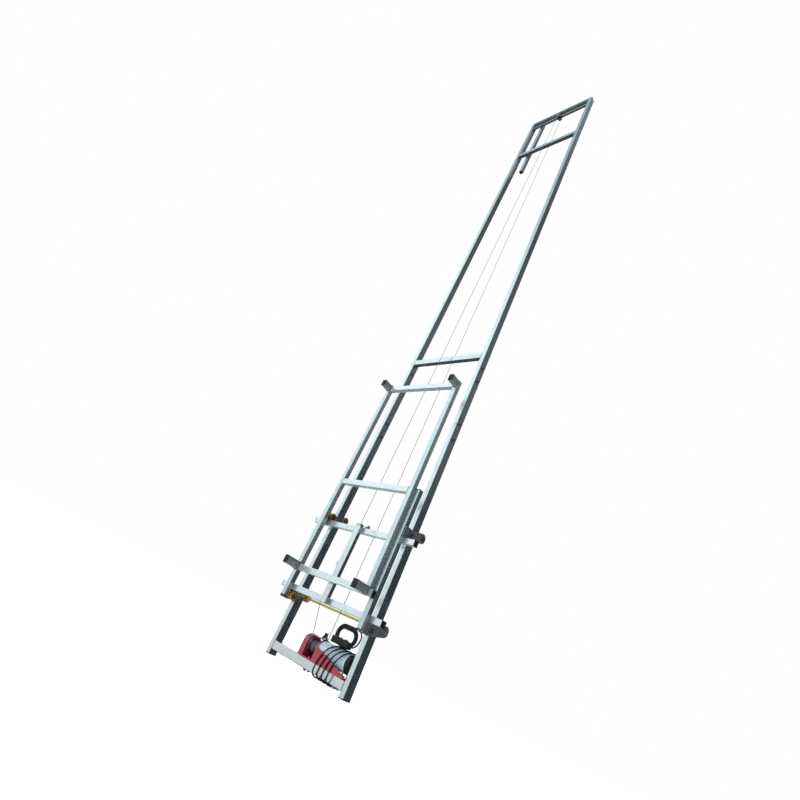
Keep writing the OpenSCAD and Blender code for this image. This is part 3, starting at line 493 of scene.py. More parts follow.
# Where the tones of the studio change, as parts of a direction's x, y and z
toneTurns = {
    "low": (-0.1, 0.35), "sky": (0.72, 0.82), "shadeMiddle": (0.29, 0.37), "shadeHigh": (0.62, 0.84),
    "farDepth": (0.38, 0.48), "farRise": (0.02, 0.14), "farSide": (-0.45, -0.3), "right": (0.275, 0.31),
    "below": (-0.12, -0.35),
}
lamps = {
    "key": {"place": (-2.6, -6.5, 3.2), "aim": (0, 0, 1.2), "size": 3.0, "power": 60},
    "fill": {"place": (4.0, -3.0, 1.6), "aim": (0.2, 0, 1.2), "size": 3.0, "power": 22},
    "winch": {"place": (-0.5, -2.6, 1.9), "aim": (0.08, 0, 0.15), "size": 0.8, "power": 10},
}
floorHalf = 40


def lightStudio():
    world = bpy.data.worlds.new("studio")
    bpy.context.scene.world = world
    world.use_nodes = True
    shade = Shade(world.node_tree)
    way = shade.make("ShaderNodeTexCoord", out="Generated")
    side = shade.make("ShaderNodeSeparateXYZ", inputs={0: way}, out="X")
    depth = shade.make("ShaderNodeSeparateXYZ", inputs={0: way}, out="Y")
    rise = shade.make("ShaderNodeSeparateXYZ", inputs={0: way}, out="Z")
    lit = mixed(between(rise, *toneTurns["low"]), studio["low"], studio["bright"])
    lit = mixed(between(rise, *toneTurns["sky"]), lit, studio["sky"])
    dim = mixed(between(rise, *toneTurns["shadeMiddle"]), studio["shadeLow"], studio["shadeMiddle"])
    dim = mixed(between(rise, *toneTurns["shadeHigh"]), dim, studio["shadeHigh"])
    far = between(depth, *toneTurns["farDepth"]) * between(rise, *toneTurns["farRise"])
    far = far * between(side, *toneTurns["farSide"])
    shaded = between(side, *toneTurns["right"]) + far
    glow = mixed(shaded + between(rise, *toneTurns["below"]), lit, dim)
    seen = shade.make("ShaderNodeLightPath", out="Is Camera Ray")
    shade.feed(world.node_tree.nodes["Background"], "Color", mixed(seen, glow, studio["behind"]))
    for name, lamp in lamps.items():
        data = bpy.data.lights.new(name, "AREA")
        data.size = lamp["size"]
        data.energy = lamp["power"]
        light = bpy.data.objects.new(name, data)
        light.location = lamp["place"]
        toward = Vector(lamp["aim"]) - Vector(lamp["place"])
        light.rotation_euler = toward.to_track_quat("-Z", "Y").to_euler()
        light.visible_glossy = False
        bpy.context.scene.collection.objects.link(light)
    bpy.context.scene.view_settings.view_transform = "Standard"


def layFloor():
    bm = bmesh.new()
    bmesh.ops.create_grid(bm, x_segments=8, y_segments=8, size=floorHalf)
    mesh = bpy.data.meshes.new("floor")
    bm.to_mesh(mesh)
    bm.free()
    mesh.materials.append(paleFloor())
    floor = bpy.data.objects.new("floor", mesh)
    bpy.context.scene.collection.objects.link(floor)
    floor.visible_glossy = False


placeCamera()
lightStudio()
layFloor()
print("stage: camera and light placed")


# Helpers for pieces

def show(name, data, finish, body, replaced=()):
    data.materials.append(finish)
    piece = bpy.data.objects.new(name, data)
    bpy.context.scene.collection.objects.link(piece)
    if body:
        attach(piece, body)
    if replaced:
        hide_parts(*replaced)
    return piece


def showMesh(name, bm, finish, body, replaced=()):
    bmesh.ops.remove_doubles(bm, verts=bm.verts, dist=weldGap)
    bmesh.ops.recalc_face_normals(bm, faces=bm.faces)
    for face in bm.faces:
        face.smooth = True
    mesh = bpy.data.meshes.new(name)
    bm.to_mesh(mesh)
    bm.free()
    mesh.set_sharp_from_angle(angle=sharpAngle)
    piece = show(name, mesh, finish, body, replaced)
    even = piece.modifiers.new("even_normals", "WEIGHTED_NORMAL")
    even.keep_sharp = True
    return piece


def showLine(name, paths, thick, finish, body, replaced=(), closed=False, ripple=0):
    curve = bpy.data.curves.new(name, "CURVE")
    curve.dimensions = "3D"
    curve.bevel_depth = thick / 2
    curve.bevel_resolution = 3
    curve.use_fill_caps = not closed
    for path in paths:
        spline = curve.splines.new("POLY")
        spline.points.add(len(path) - 1)
        spline.use_cyclic_u = closed
        for i, (point, place) in enumerate(zip(spline.points, path)):
            point.co = (*place, 1)
            point.radius = 1 + ripple * (i % 2)
    return show(name, curve, finish, body, replaced)


def boxInto(bm, low, high, radius=0, segments=3, axis=None):
    place = Matrix.Translation((low + high) / 2) @ Matrix.Diagonal((*(high - low), 1))
    made = bmesh.ops.create_cube(bm, size=1, matrix=place)
    edges = {edge for vert in made["verts"] for edge in vert.link_edges}
    if axis is not None:
        edges = [e for e in edges if abs((e.verts[0].co - e.verts[1].co).normalized()[axis]) > parallel]
    if radius:
        bmesh.ops.bevel(
            bm, geom=list(edges), offset=radius, segments=segments, profile=0.5, affect="EDGES", material=-1)


def spinInto(bm, origin, along, profile, steps=40):
    along = Vector(along)
    side = along.orthogonal().normalized()
    verts = [bm.verts.new(Vector(origin) + along * reach + side * radius) for reach, radius in profile]
    edges = [bm.edges.new(ends) for ends in zip(verts, verts[1:])]
    bmesh.ops.spin(
        bm, geom=verts + edges, cent=origin, axis=along, dvec=(0, 0, 0), angle=math.tau, steps=steps,
        use_merge=True, use_duplicate=False)


def prismInto(bm, origin, along, radius, height, sides, edge=0):
    turn = Vector(along).to_track_quat("Z", "Y").to_matrix().to_4x4()
    place = Matrix.Translation(Vector(origin) + Vector(along) * height / 2) @ turn
    made = bmesh.ops.create_cone(
        bm, cap_ends=True, segments=sides, radius1=radius, radius2=radius, depth=height, matrix=place)
    if edge:
        edges = {e for vert in made["verts"] for e in vert.link_edges}
        bmesh.ops.bevel(
            bm, geom=list(edges), offset=edge, segments=2, profile=0.5, affect="EDGES", material=-1)


def copyOf(node):
    bm = bmesh.new()
    bm.from_mesh(cadNodes[node].data)
    bmesh.ops.remove_doubles(bm, verts=bm.verts, dist=copyGap)
    return bm


def islands(node):
    bm = copyOf(node)
    left = set(bm.verts)
    boxes = []
    while left:
        group = [left.pop()]
        for vert in group:
            near = {e.other_vert(vert) for e in vert.link_edges} & left
            left -= near
            group.extend(near)
        places = [v.co.copy() for v in group]
        boxes.append((
            Vector([min(p[i] for p in places) for i in range(3)]),
            Vector([max(p[i] for p in places) for i in range(3)])))
    bm.free()
    return sorted(boxes, key=lambda box: tuple(box[0]))


# A copy of a node with its sharp edges rounded off. The angles are degrees
easing = {"flat": 1, "corner": 30, "segments": 2}


def eased(node, width):
    bm = copyOf(node)
    bmesh.ops.dissolve_limit(
        bm, angle_limit=math.radians(easing["flat"]), verts=bm.verts, edges=bm.edges,
        use_dissolve_boundaries=False)
    corner = math.radians(easing["corner"])
    edges = [e for e in bm.edges if len(e.link_faces) == 2 and e.calc_face_angle(0) > corner]
    bmesh.ops.bevel(
        bm, geom=edges, offset=width, segments=easing["segments"], profile=0.5, affect="EDGES",
        clamp_overlap=True, material=-1)
    slot = nodeSlot[node]
    # Some nodes take a lit or shaded copy of their finish: painted light and shade
    finish = litAndShadedFinishes.get(node, finishes[slot])
    return showMesh(node + "_eased", bm, finish, nodeBody[node], [node])


# Cords

cord = {
    "thick": 7 * mm,
    "pendant": [
        [63, 80, 140], [71, 80, 140], [84, 80, 140], [98, 80, 140], [112, 80, 140], [125, 80, 140],
        [140, 77, 142], [150, 68, 149], [154, 56.5, 157.5], [150, 45, 166], [140, 36, 173], [125, 33, 175]],
    "handset": [
        [125, 24, 267], [137, 24, 267], [155, 24, 267], [174, 23.5, 266], [193, 22, 264], [210, 19, 259],
        [224, 14, 250], [233, 9, 237], [235, 5, 221], [230, 3, 204], [219, 2, 193], [212, 2, 189],
        [205, 2, 189]],
    "power": [
        [63, 80, 112], [71.5, 79, 111.5], [79.5, 77, 109.5], [87, 73.5, 106], [92.5, 69.5, 101],
        [97, 65.5, 94.5], [99.5, 62.5, 87], [101, 60, 79], [101, 58.5, 70.5], [100, 58, 62]],
    "plug": [[230.6, 58, 80], [229.6, 58, 71], [229.3, 58, 62]],
}
coil = {
    "x": 125, "z": 221, "radius": 46, "pitch": 8.6, "oval": 50, "back": 33, "front": 24, "turns": 4.5,
    "reversal": 0.5, "runShare": 0.15, "bendShare": 0.35, "rings": 60,
}
wrap = {
    "startX": 100, "pitch": 32, "sway": 45, "turns": 4, "y": 8, "radius": 50, "top": 120, "start": 62,
    "end": 80, "low": 18, "bend": 28, "leanShares": (0.40, 0.70, 0.74), "rings": 64,
}


def inMetres(points):
    return [Vector(point) * mm for point in points]


def smoothed(points):
    ends = [2 * points[0] - points[1], *points, 2 * points[-1] - points[-2]]
    line = []
    for i in range(1, len(points)):
        line.append(ends[i])
        line.append((9 * (ends[i] + ends[i + 1]) - ends[i - 1] - ends[i + 2]) / 16)
    return line + [points[-1]]


def within(u):
    return min(1, max(0, u))


# The oval coil spirals in at the back, climbs a layer and spirals out in front
def coilPoint(t):
    inward = (coil["turns"] - coil["reversal"]) / 2
    radius = coil["radius"] - coil["pitch"] * min(t, coil["turns"] - t, inward)
    layer = within((t - inward) / coil["reversal"])
    run, bend = coil["runShare"], coil["bendShare"]
    part = t - math.floor(t)
    turned = within((part - run / 2) / bend) + within((part - run * 3 / 2 - bend) / bend)
    shift = within((part - run / 2 - bend) / run) * 2
    shift = shift - within(2 * part / run) - within(1 - 2 * (1 - part) / run)
    angle = -math.pi / 2 - math.pi * turned
    return (
        coil["x"] + coil["oval"] / 2 * shift + radius * math.cos(angle),
        coil["back"] + (coil["front"] - coil["back"]) * layer, coil["z"] + radius * math.sin(angle))


def easedStep(u):
    return u * u * (3 - 2 * u)


# Each wrap leans to the right as it climbs the front and comes back behind
def wrapLean(part):
    rise, high, back = wrap["leanShares"]
    if rise <= part < high:
        return easedStep((part - rise) / (high - rise))
    if high <= part < back:
        return 1
    gone = part - back if part >= back else part + 1 - back
    return 1 - easedStep(gone / (rise + 1 - back))


# The power cord winds down the back, under the beam, up the front and over the motor
def wrapLegs():
    r, bend, low, start, top = (wrap[key] for key in ("radius", "bend", "low", "start", "top"))
    bendZ = low + bend
    inner = r - bend
    quarter = math.pi / 2

    def cosOf(u):
        return bend * math.cos(u * quarter)

    def sinOf(u):
        return bend * math.sin(u * quarter)

    return [
        (start - bendZ, lambda u: (r, start + u * (bendZ - start))),
        (quarter * bend, lambda u: (inner + cosOf(u), bendZ - sinOf(u))),
        (2 * inner, lambda u: (inner * (1 - 2 * u), low)),
        (quarter * bend, lambda u: (-inner - sinOf(u), bendZ - cosOf(u))),
        (top - bendZ, lambda u: (-r, bendZ + u * (top - bendZ))),
        (math.pi * r, lambda u: (-r * math.cos(math.pi * u), top + r * math.sin(math.pi * u))),
        (top - start, lambda u: (r, top + u * (start - top))),
    ]


legs = wrapLegs()
wrapRound = sum(length for length, place in legs)


def wrapPoint(t):
    part = t - math.floor(t)
    way = part * wrapRound
    for length, place in legs:
        if way <= length:
            break
        way -= length
    y, z = place(min(1, way / length))
    x = wrap["startX"] + wrap["pitch"] * t + wrap["sway"] * (wrapLean(part) - wrapLean(0))
    return x, wrap["y"] + y, z


def lengthOf(path):
    return sum((b - a).length for a, b in zip(path, path[1:]))


def cordPath(first, turns, last):
    start = smoothed(smoothed(inMetres(first)))
    end = smoothed(smoothed(inMetres(last)))
    return start + inMetres(turns)[1:-1] + end


coilTurns = [coilPoint(i / coil["rings"]) for i in range(int(coil["turns"] * coil["rings"]) + 1)]
wrapEnd = wrap["turns"] - (wrap["end"] - wrap["start"]) / wrapRound
wrapRings = wrap["turns"] * wrap["rings"]
wrapTurns = [wrapPoint(wrapEnd * i / wrapRings) for i in range(wrapRings + 1)]
pendantPath = cordPath(cord["pendant"], coilTurns, cord["handset"])
powerPath = cordPath(cord["power"], wrapTurns, cord["plug"])
pendantCord = showLine(
    "pendant_cord_line", [pendantPath], cord["thick"], finishes["cord_rubber"], "mast",
    ["pendant_cord", "pendant_coil"])
powerCord = showLine(
    "power_cord_line", [powerPath], cord["thick"], finishes["cord_rubber"], "mast",
    ["power_cord", "power_cord_wraps"])
print("stage: cords laid, m:", round(lengthOf(pendantPath), 3), round(lengthOf(powerPath), 3))


# Tubes with rounded corners and open bores

tube = {"corner": 2.5 * mm, "wall": 2.5 * mm}
tubeAxes = {
    "left_lower_rail": 2, "right_lower_rail": 2, "left_upper_rail": 2, "right_upper_rail": 2,
    "bottom_beam": 0, "middle_rung": 0, "upper_rung": 0, "top_bar": 0, "stop_tube": 2,
    "left_stile": 2, "right_stile": 2, "upper_axle_beam": 0, "lower_axle_beam": 0, "centre_spine": 2,
    "left_cradle_tube": 2, "right_cradle_tube": 2, "cradle_crossbars": 0, "load_prongs": 1,
}


def tubeMesh(low, high, axis):
    bm = bmesh.new()
    boxInto(bm, low, high, tube["corner"], 4, axis)
    ends = [f for f in bm.faces if abs(f.normal[axis]) > parallel]
    bmesh.ops.delete(bm, geom=ends, context="FACES_ONLY")
    bmesh.ops.solidify(bm, geom=bm.faces[:], thickness=tube["wall"])
    mesh = bpy.data.meshes.new("tube")
    bm.to_mesh(mesh)
    bm.free()
    return mesh


def makeTubes():
    for node, axis in tubeAxes.items():
        bm = bmesh.new()
        for low, high in islands(node):
            mesh = tubeMesh(low, high, axis)
            bm.from_mesh(mesh)
            bpy.data.meshes.remove(mesh)
        # Some tubes take a lit or shaded copy of galvanised steel: painted light and shade
        finish = litAndShadedFinishes.get(node, finishes["galvanised_steel"])
        showMesh(node + "_tube", bm, finish, nodeBody[node], [node])


makeTubes()
print("stage: tubes made")


# Weld beads where the tubes meet

bead = {"thick": 4.4 * mm, "step": 3.5 * mm, "ripple": 0.22, "sink": 0.2}
mastJoints = ["bottom_beam", "middle_rung", "upper_rung", "top_bar"]


def beadLoop(low, high, axis, at):
    first, second = [i for i in range(3) if i != axis]
    corners = [
        (low[first], low[second]), (high[first], low[second]),
        (high[first], high[second]), (low[first], high[second])]
    loop = []
    for (a, b), (c, d) in zip(corners, corners[1:] + corners[:1]):
        count = max(2, round((abs(c - a) + abs(d - b)) / bead["step"]))
        for i in range(count):
            place = Vector((0, 0, 0))
            place[axis] = at
            place[first] = a + (c - a) * i / count
            place[second] = b + (d - b) * i / count
            loop.append(place)
    return loop


def makeBeads():
    inset = Vector((1, 1, 1)) * bead["thick"] * bead["sink"]
    mastLoops = []
    for node in mastJoints:
        for low, high in islands(node):
            mastLoops += [beadLoop(low + inset, high - inset, 0, end[0]) for end in (low, high)]
    carriageLoops = []
    foot, *bars = sorted(islands("cradle_crossbars"), key=lambda ends: ends[0].z)
    for low, high in bars:
        carriageLoops += [beadLoop(low + inset, high - inset, 0, end[0]) for end in (low, high)]
    for side in ("left", "right"):
        low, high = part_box(side + "_stile")
        low.z, high.z = foot[0].z, foot[1].z
        carriageLoops.append(beadLoop(low + inset, high - inset, 1, low.y))
        low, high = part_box(side + "_cradle_tube")
        high.y = foot[1].y
        carriageLoops.append(beadLoop(low + inset, high - inset, 2, low.z))
    for low, high in islands("load_prongs"):
        carriageLoops.append(beadLoop(low + inset, high - inset, 1, high[1]))
    for body, loops in (("mast", mastLoops), ("carriage", carriageLoops)):
        showLine(
            body + "_welds", loops, bead["thick"], beadFinish, body, closed=True,
            ripple=bead["ripple"])


makeBeads()
print("stage: welds laid")


# Nodes that only need their edges eased

easedWidths = {
    "mast_end_plugs": 1.2, "carriage_end_plugs": 1.2, "splice_bolts": 0.5, "winch_bolts": 0.4,
    "roller_axles": 0.5, "tie_rod": 0.4, "roller_brackets": 0.8, "head_shaft": 0.6, "head_sheave": 0.5,
    "rope_anchor": 0.7, "rope_drum": 0.5, "winch_frame": 0.6, "drum_guard": 0.5, "gear_case": 2.0,
    "limit_lever": 0.5, "motor_casing": 0.4,
}
for easedNode, easedWidth in easedWidths.items():
    eased(easedNode, easedWidth * mm)
print("stage: edges eased")


# Rollers: an amber tyre cast round a dark hub

roller = {
    "edge": 2.5 * mm, "round": 0.3, "hub": 13 * mm, "sink": 1.2 * mm, "bore": 6.1 * mm, "lip": 9.5 * mm,
    "lipEdge": 0.8 * mm, "face": [(0.3 * mm, 0.8 * mm), (0, 2 * mm)], "tyreSteps": 56, "hubSteps": 40,
}
rollerNodes = ["upper_front_rollers", "upper_rear_rollers", "lower_front_rollers", "lower_rear_rollers"]


# The second half of a ring's outline mirrors the first
def ringInto(bm, origin, half, length, steps):
    back = [(length - reach, radius) for reach, radius in reversed(half)]
    spinInto(bm, origin, (1, 0, 0), [*half, *back, half[0]], steps)


def makeRollers():
    for node in rollerNodes:
        tyres = bmesh.new()
        hubs = bmesh.new()
        for low, high in islands(node):
            length = high.x - low.x
            radius = (high.z - low.z) / 2
            edge, hub, sink = roller["edge"], roller["hub"], roller["sink"]
            curl = edge * roller["round"]
            origin = Vector((low.x, (low.y + high.y) / 2, (low.z + high.z) / 2))
            face = [(reach, hub + out) for reach, out in roller["face"]]
            ringInto(tyres, origin, [
                (sink, hub), *face, (0, radius - edge), (curl, radius - curl), (edge, radius)],
                length, roller["tyreSteps"])
            ringInto(hubs, origin, [
                (sink, hub), (sink, roller["lip"]), (0, roller["lip"] - roller["lipEdge"]),
                (0, roller["bore"])], length, roller["hubSteps"])
        showMesh(
            node + "_tyres", tyres, finishes["amber_polyurethane"], nodeBody[node], [node])
        showMesh(node + "_hubs", hubs, finishes["black_plastic"], nodeBody[node])


makeRollers()
print("stage: rollers made")


# Wire rope

rope = {
    "thick": 3 * mm, "foot": Vector((14.4, 36, 140)) * mm,
    "sheave": Vector((0, -8, 5081)) * mm, "radius": 28 * mm, "arcSteps": 24, "sides": 12, "cuts": 120,
    "axis": Vector((0, 8, 125)) * mm, "pitch": 3.7 * mm, "rings": 40,
}
windings = [
    {"x": -22.5 * mm, "turns": 9, "turn": 1, "start": math.radians(199.9)},
    {"x": 14.4 * mm, "turns": 3, "turn": -1, "start": 0},
]


def straightRope(name, low, high, body, node):
    bm = bmesh.new()
    way = (high - low).normalized()
    prismInto(bm, low, way, rope["thick"] / 2, (high - low).length, rope["sides"])
    runs = [e for e in bm.edges if abs((e.verts[0].co - e.verts[1].co).normalized() @ way) > parallel]
    bmesh.ops.subdivide_edges(bm, edges=runs, cuts=rope["cuts"])
    return showMesh(name, bm, finishes["wire_rope"], body, [node])


def makeRopes():
    centre, radius, steps = rope["sheave"], rope["radius"], rope["arcSteps"]
    arc = [
        centre + radius * Vector((0, math.cos(math.pi * i / steps), math.sin(math.pi * i / steps)))
        for i in range(steps + 1)]
    showLine(
        "hoist_rope_line", [[rope["foot"], *arc]], rope["thick"], finishes["wire_rope"], "mast",
        ["hoist_rope_run"])

    low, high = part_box("hoist_rope_fall")
    half = rope["thick"] / 2
    top = Vector((0, high.y - half, high.z))
    foot = Vector((0, low.y + half, low.z))
    fall = straightRope("hoist_fall_line", foot, top, "mast", "hoist_rope_fall")
    slide = next(j for j in frame["joints"] if j["name"] == "carriage_slide")
    travel = slide["range_m"][1]
    1 - travel / (top.z - foot.z)
    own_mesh(fall)

    low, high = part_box("downhaul_rope")
    middle = (low.x + high.x) / 2
    start = Vector((middle, high.y - half, low.z))
    end = Vector((middle, low.y + half, high.z))
    downhaul = straightRope("downhaul_line", start, end, None, "downhaul_rope")
    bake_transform(downhaul)

    tails = []
    for low, high in islands("downhaul_end"):
        axis = max(range(3), key=lambda i: high[i] - low[i])
        ends = [low + Vector((half, half, half)), high - Vector((half, half, half))]
        ends[0][axis] = low[axis]
        ends[1][axis] = high[axis]
        tails.append(ends)
    showLine(
        "downhaul_tails", tails, rope["thick"], finishes["wire_rope"], "carriage", ["downhaul_end"])


makeRopes()
print("stage: ropes strung")


# Turns of rope on the drum
def makeWindings():
    paths = []
    for winding in windings:
        count = winding["turns"] * rope["rings"]
        path = []
        for i in range(count + 1):
            t = i / rope["rings"]
            angle = winding["start"] + winding["turn"] * math.tau * t
            reach = Vector((0, math.cos(angle), math.sin(angle))) * rope["radius"]
            path.append(rope["axis"] + reach + Vector((winding["x"] + rope["pitch"] * t, 0, 0)))
        paths.append(path)
    showLine(
        "rope_turns", paths, rope["thick"], finishes["wire_rope"], "drum", ["rope_winding"])


makeWindings()


# Winch fittings

box = {
    "round": 5 * mm, "lid": 6 * mm, "groove": 1.2 * mm, "sink": 1.5 * mm, "screw": 3.4 * mm,
    "screwIn": 8 * mm,
}
gearScrew = {"radius": 3.4 * mm, "in": 8 * mm, "drop": 20.8 * mm, "seat": 0.9}
gland = {
    "nut": 10 * mm, "nutLength": 7 * mm, "nutEdge": 0.8 * mm, "bootFrom": 0.8, "boot": 8 * mm,
    "tip": 5.2 * mm, "ridges": 4, "ridge": 0.7 * mm, "steps": 32,
}
# The rim's grooved band is given in mm, as reach and drop
cover = {
    "rim": [(0, 2), (0, 0), (3, 0), (3.6, 0.8), (4.8, 0.8), (5.4, 0)], "round": 9 * mm, "roundSteps": 6,
    "sink": 1.6 * mm, "dish": 30 * mm, "dishEdge": 0.6 * mm, "steps": 64, "ribs": 12, "rib": 2.4 * mm,
    "ribSink": 0.2 * mm, "ribEdge": 0.5 * mm, "hub": 9 * mm, "hubEdge": (0.4 * mm, 0.6 * mm), "hubSteps": 32,
    "screws": 4, "screwRing": 35 * mm, "screw": 2.6 * mm, "screwSink": 2.6 * mm,
}
# The socket's rim, floor and depth are parts of the head's radius and height
screwHead = {"height": 1.6 * mm, "edge": 0.4 * mm, "socket": (0.55, 0.5, 0.4), "steps": 18}


def screwInto(bm, origin, along, radius):
    along = Vector(along)
    height, edge = screwHead["height"], screwHead["edge"]
    rim, floor, depth = screwHead["socket"]
    spinInto(bm, origin, along, [
        (0, radius), (height - edge, radius), (height, radius - edge * 2), (height, radius * rim),
        (height * depth, radius * floor), (height * depth, 0)], screwHead["steps"])


def makeControlBox():
    low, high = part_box("control_box")
    bm = bmesh.new()
    seam = high.y - box["lid"]
    boxInto(bm, low, Vector((high.x, seam - box["groove"], high.z)), box["round"], 4, 1)
    inset = Vector((box["sink"], 0, box["sink"]))
    boxInto(
        bm, Vector((low.x, seam - box["groove"], low.z)) + inset, Vector((high.x, seam, high.z)) - inset,
        box["round"], 4, 1)
    boxInto(bm, Vector((low.x, seam, low.z)), high, box["sink"], 3)
    showMesh("control_box_case", bm, finishes["black_plastic"], "mast", ["control_box"])
    screws = bmesh.new()
    for x in (low.x + box["screwIn"], high.x - box["screwIn"]):
        for z in (low.z + box["screwIn"], high.z - box["screwIn"]):
            screwInto(screws, Vector((x, high.y - screwHead["height"], z)), (0, 1, 0), box["screw"])
    showMesh("control_box_screws", screws, finishes["zinc_steel"], "mast")


def makeGlands():
    bm = bmesh.new()
    for low, high in islands("cord_glands"):
        origin = Vector((low.x, (low.y + high.y) / 2, (low.z + high.z) / 2))
        prismInto(bm, origin, (1, 0, 0), gland["nut"], gland["nutLength"], 6, gland["nutEdge"])
        length = high.x - low.x
        profile = [(gland["nutLength"] * gland["bootFrom"], gland["boot"])]
        step = (length - gland["nutLength"]) / (2 * gland["ridges"])
        for i in range(2 * gland["ridges"] + 1):
            share = i / (2 * gland["ridges"])
            radius = gland["boot"] + (gland["tip"] - gland["boot"]) * share
            profile.append((gland["nutLength"] + i * step, radius - gland["ridge"] * (i % 2)))
        profile.append((length, cord["thick"] / 2))
        spinInto(bm, origin, (1, 0, 0), profile, gland["steps"])
    showMesh("cord_gland_boots", bm, finishes["black_plastic"], "mast", ["cord_glands"])


def makeEndCover():
    low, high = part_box("motor_end_cover")
    radius = (high.z - low.z) / 2
    length = high.x - low.x
    origin = Vector((low.x, (low.y + high.y) / 2, (low.z + high.z) / 2))
    curl, count = cover["round"], cover["roundSteps"]
    rim = [(reach * mm, radius - drop * mm) for reach, drop in cover["rim"]]
    bend = [
        (length - curl + curl * math.sin(a), radius - curl + curl * math.cos(a))
        for a in [math.pi / 2 * i / count for i in range(count + 1)]]
    bm = bmesh.new()
    spinInto(bm, origin, (1, 0, 0), [
        *rim, *bend, (length, cover["dish"]), (length - cover["sink"], cover["dish"] - cover["dishEdge"]),
        (length - cover["sink"], 0)], cover["steps"])
    for i in range(cover["ribs"]):
        rib = bmesh.new()
        boxInto(
            rib, Vector((length - 2 * cover["sink"], -cover["rib"] / 2, cover["hub"])),
            Vector((length - cover["ribSink"], cover["rib"] / 2, cover["dish"])), cover["ribEdge"], 2)
        turn = Matrix.Rotation(math.tau * i / cover["ribs"], 4, "X")
        bmesh.ops.transform(rib, matrix=Matrix.Translation(origin) @ turn, verts=rib.verts)
        mesh = bpy.data.meshes.new("rib")
        rib.to_mesh(mesh)
        rib.free()
        bm.from_mesh(mesh)
        bpy.data.meshes.remove(mesh)
    hub, (back, down) = cover["hub"], cover["hubEdge"]
    spinInto(bm, origin, (1, 0, 0), [
        (length - 2 * cover["sink"], hub), (length - back, hub), (length, hub - down), (length, 0)],
        cover["hubSteps"])
    showMesh("motor_end_grille", bm, finishes["black_plastic"], "mast", ["motor_end_cover"])
    screws = bmesh.new()
    for i in range(cover["screws"]):
        angle = math.tau * (i + 0.5) / cover["screws"]
        ring = Vector((0, math.cos(angle), math.sin(angle))) * cover["screwRing"]
        start = origin + ring + Vector((length - cover["screwSink"], 0, 0))
        screwInto(screws, start, (1, 0, 0), cover["screw"])
    showMesh("motor_end_screws", screws, finishes["zinc_steel"], "mast")


def makeGearScrews():
    low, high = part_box("gear_case")
    bm = bmesh.new()
    x = low.x + screwHead["height"] * gearScrew["seat"]
    for y in (low.y + gearScrew["in"], high.y - gearScrew["in"]):
        for z in (low.z + gearScrew["in"], (low.z + high.z) / 2, high.z - gearScrew["drop"]):
            screwInto(bm, Vector((x, y, z)), (-1, 0, 0), gearScrew["radius"])
    showMesh("gear_case_screws", bm, finishes["zinc_steel"], "mast")


makeControlBox()
makeGlands()
makeEndCover()
makeGearScrews()
print("stage: winch fittings made")


# Pendant control

# The boot's rings are given in mm, as reach and swell over its tip
pendant = {
    "boot": 10 * mm, "bootRoot": 9 * mm, "bootFrom": -2 * mm, "bootTo": 1 * mm, "bootTip": 5 * mm,
    "bootRings": [(3, 2.4), (4, 2.6), (5, 1.4), (7, 1.5), (8, 0.5)], "bootSteps": 32, "round": 6.5 * mm,
    "seam": 1.2 * mm, "sink": 0.7 * mm, "bezel": 1.8 * mm, "bezelHeight": 1.4 * mm, "bezelGap": 0.5 * mm,
    "bezelEdge": 0.6 * mm, "bezelSink": 0.3 * mm, "well": 9.1 * mm, "wellGap": 0.3 * mm,
}
# The cap's rim is drop and inset in mm, its dish is drop in mm and a part of the radius
button = {"rim": [(2, 0), (1, 0.3), (0.3, 1), (0, 2)], "dish": [(0.5, 0.4), (0.6, 0)], "steps": 36}
buttonNodes = {"up_button": "up_key", "down_button": "down_key", "stop_button": "stop_key"}


# Open wells in the flat top, for the buttons to sink into
def cutWells(bm, top):
    lid = [f for f in bm.faces if all(abs(v.co.z - top) < copyGap for v in f.verts)]
    rim = [e for e in bm.edges if sum(f in lid for f in e.link_faces) == 1]
    bmesh.ops.delete(bm, geom=lid, context="FACES")
    mouths = []
    for node in buttonNodes:
        low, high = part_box(node)
        centre = Matrix.Translation(((low.x + high.x) / 2, (low.y + high.y) / 2, top))
        radius = (high.x - low.x) / 2 + pendant["wellGap"]
        ring = bmesh.ops.create_circle(
            bm, segments=button["steps"], radius=radius, matrix=centre)["verts"]
        mouths.append(list({e for v in ring for e in v.link_edges}))
    bmesh.ops.triangle_fill(bm, edges=rim + [e for mouth in mouths for e in mouth], normal=(0, 0, 1))
    for mouth in mouths:
        walls = bmesh.ops.extrude_edge_only(bm, edges=mouth)["geom"]
        floor = [e for e in walls if isinstance(e, bmesh.types.BMEdge)]
        bmesh.ops.translate(
            bm, vec=(0, 0, -pendant["well"]), verts=[v for v in walls if isinstance(v, bmesh.types.BMVert)])
        bmesh.ops.contextual_create(bm, geom=floor)
    bmesh.ops.recalc_face_normals(bm, faces=bm.faces)


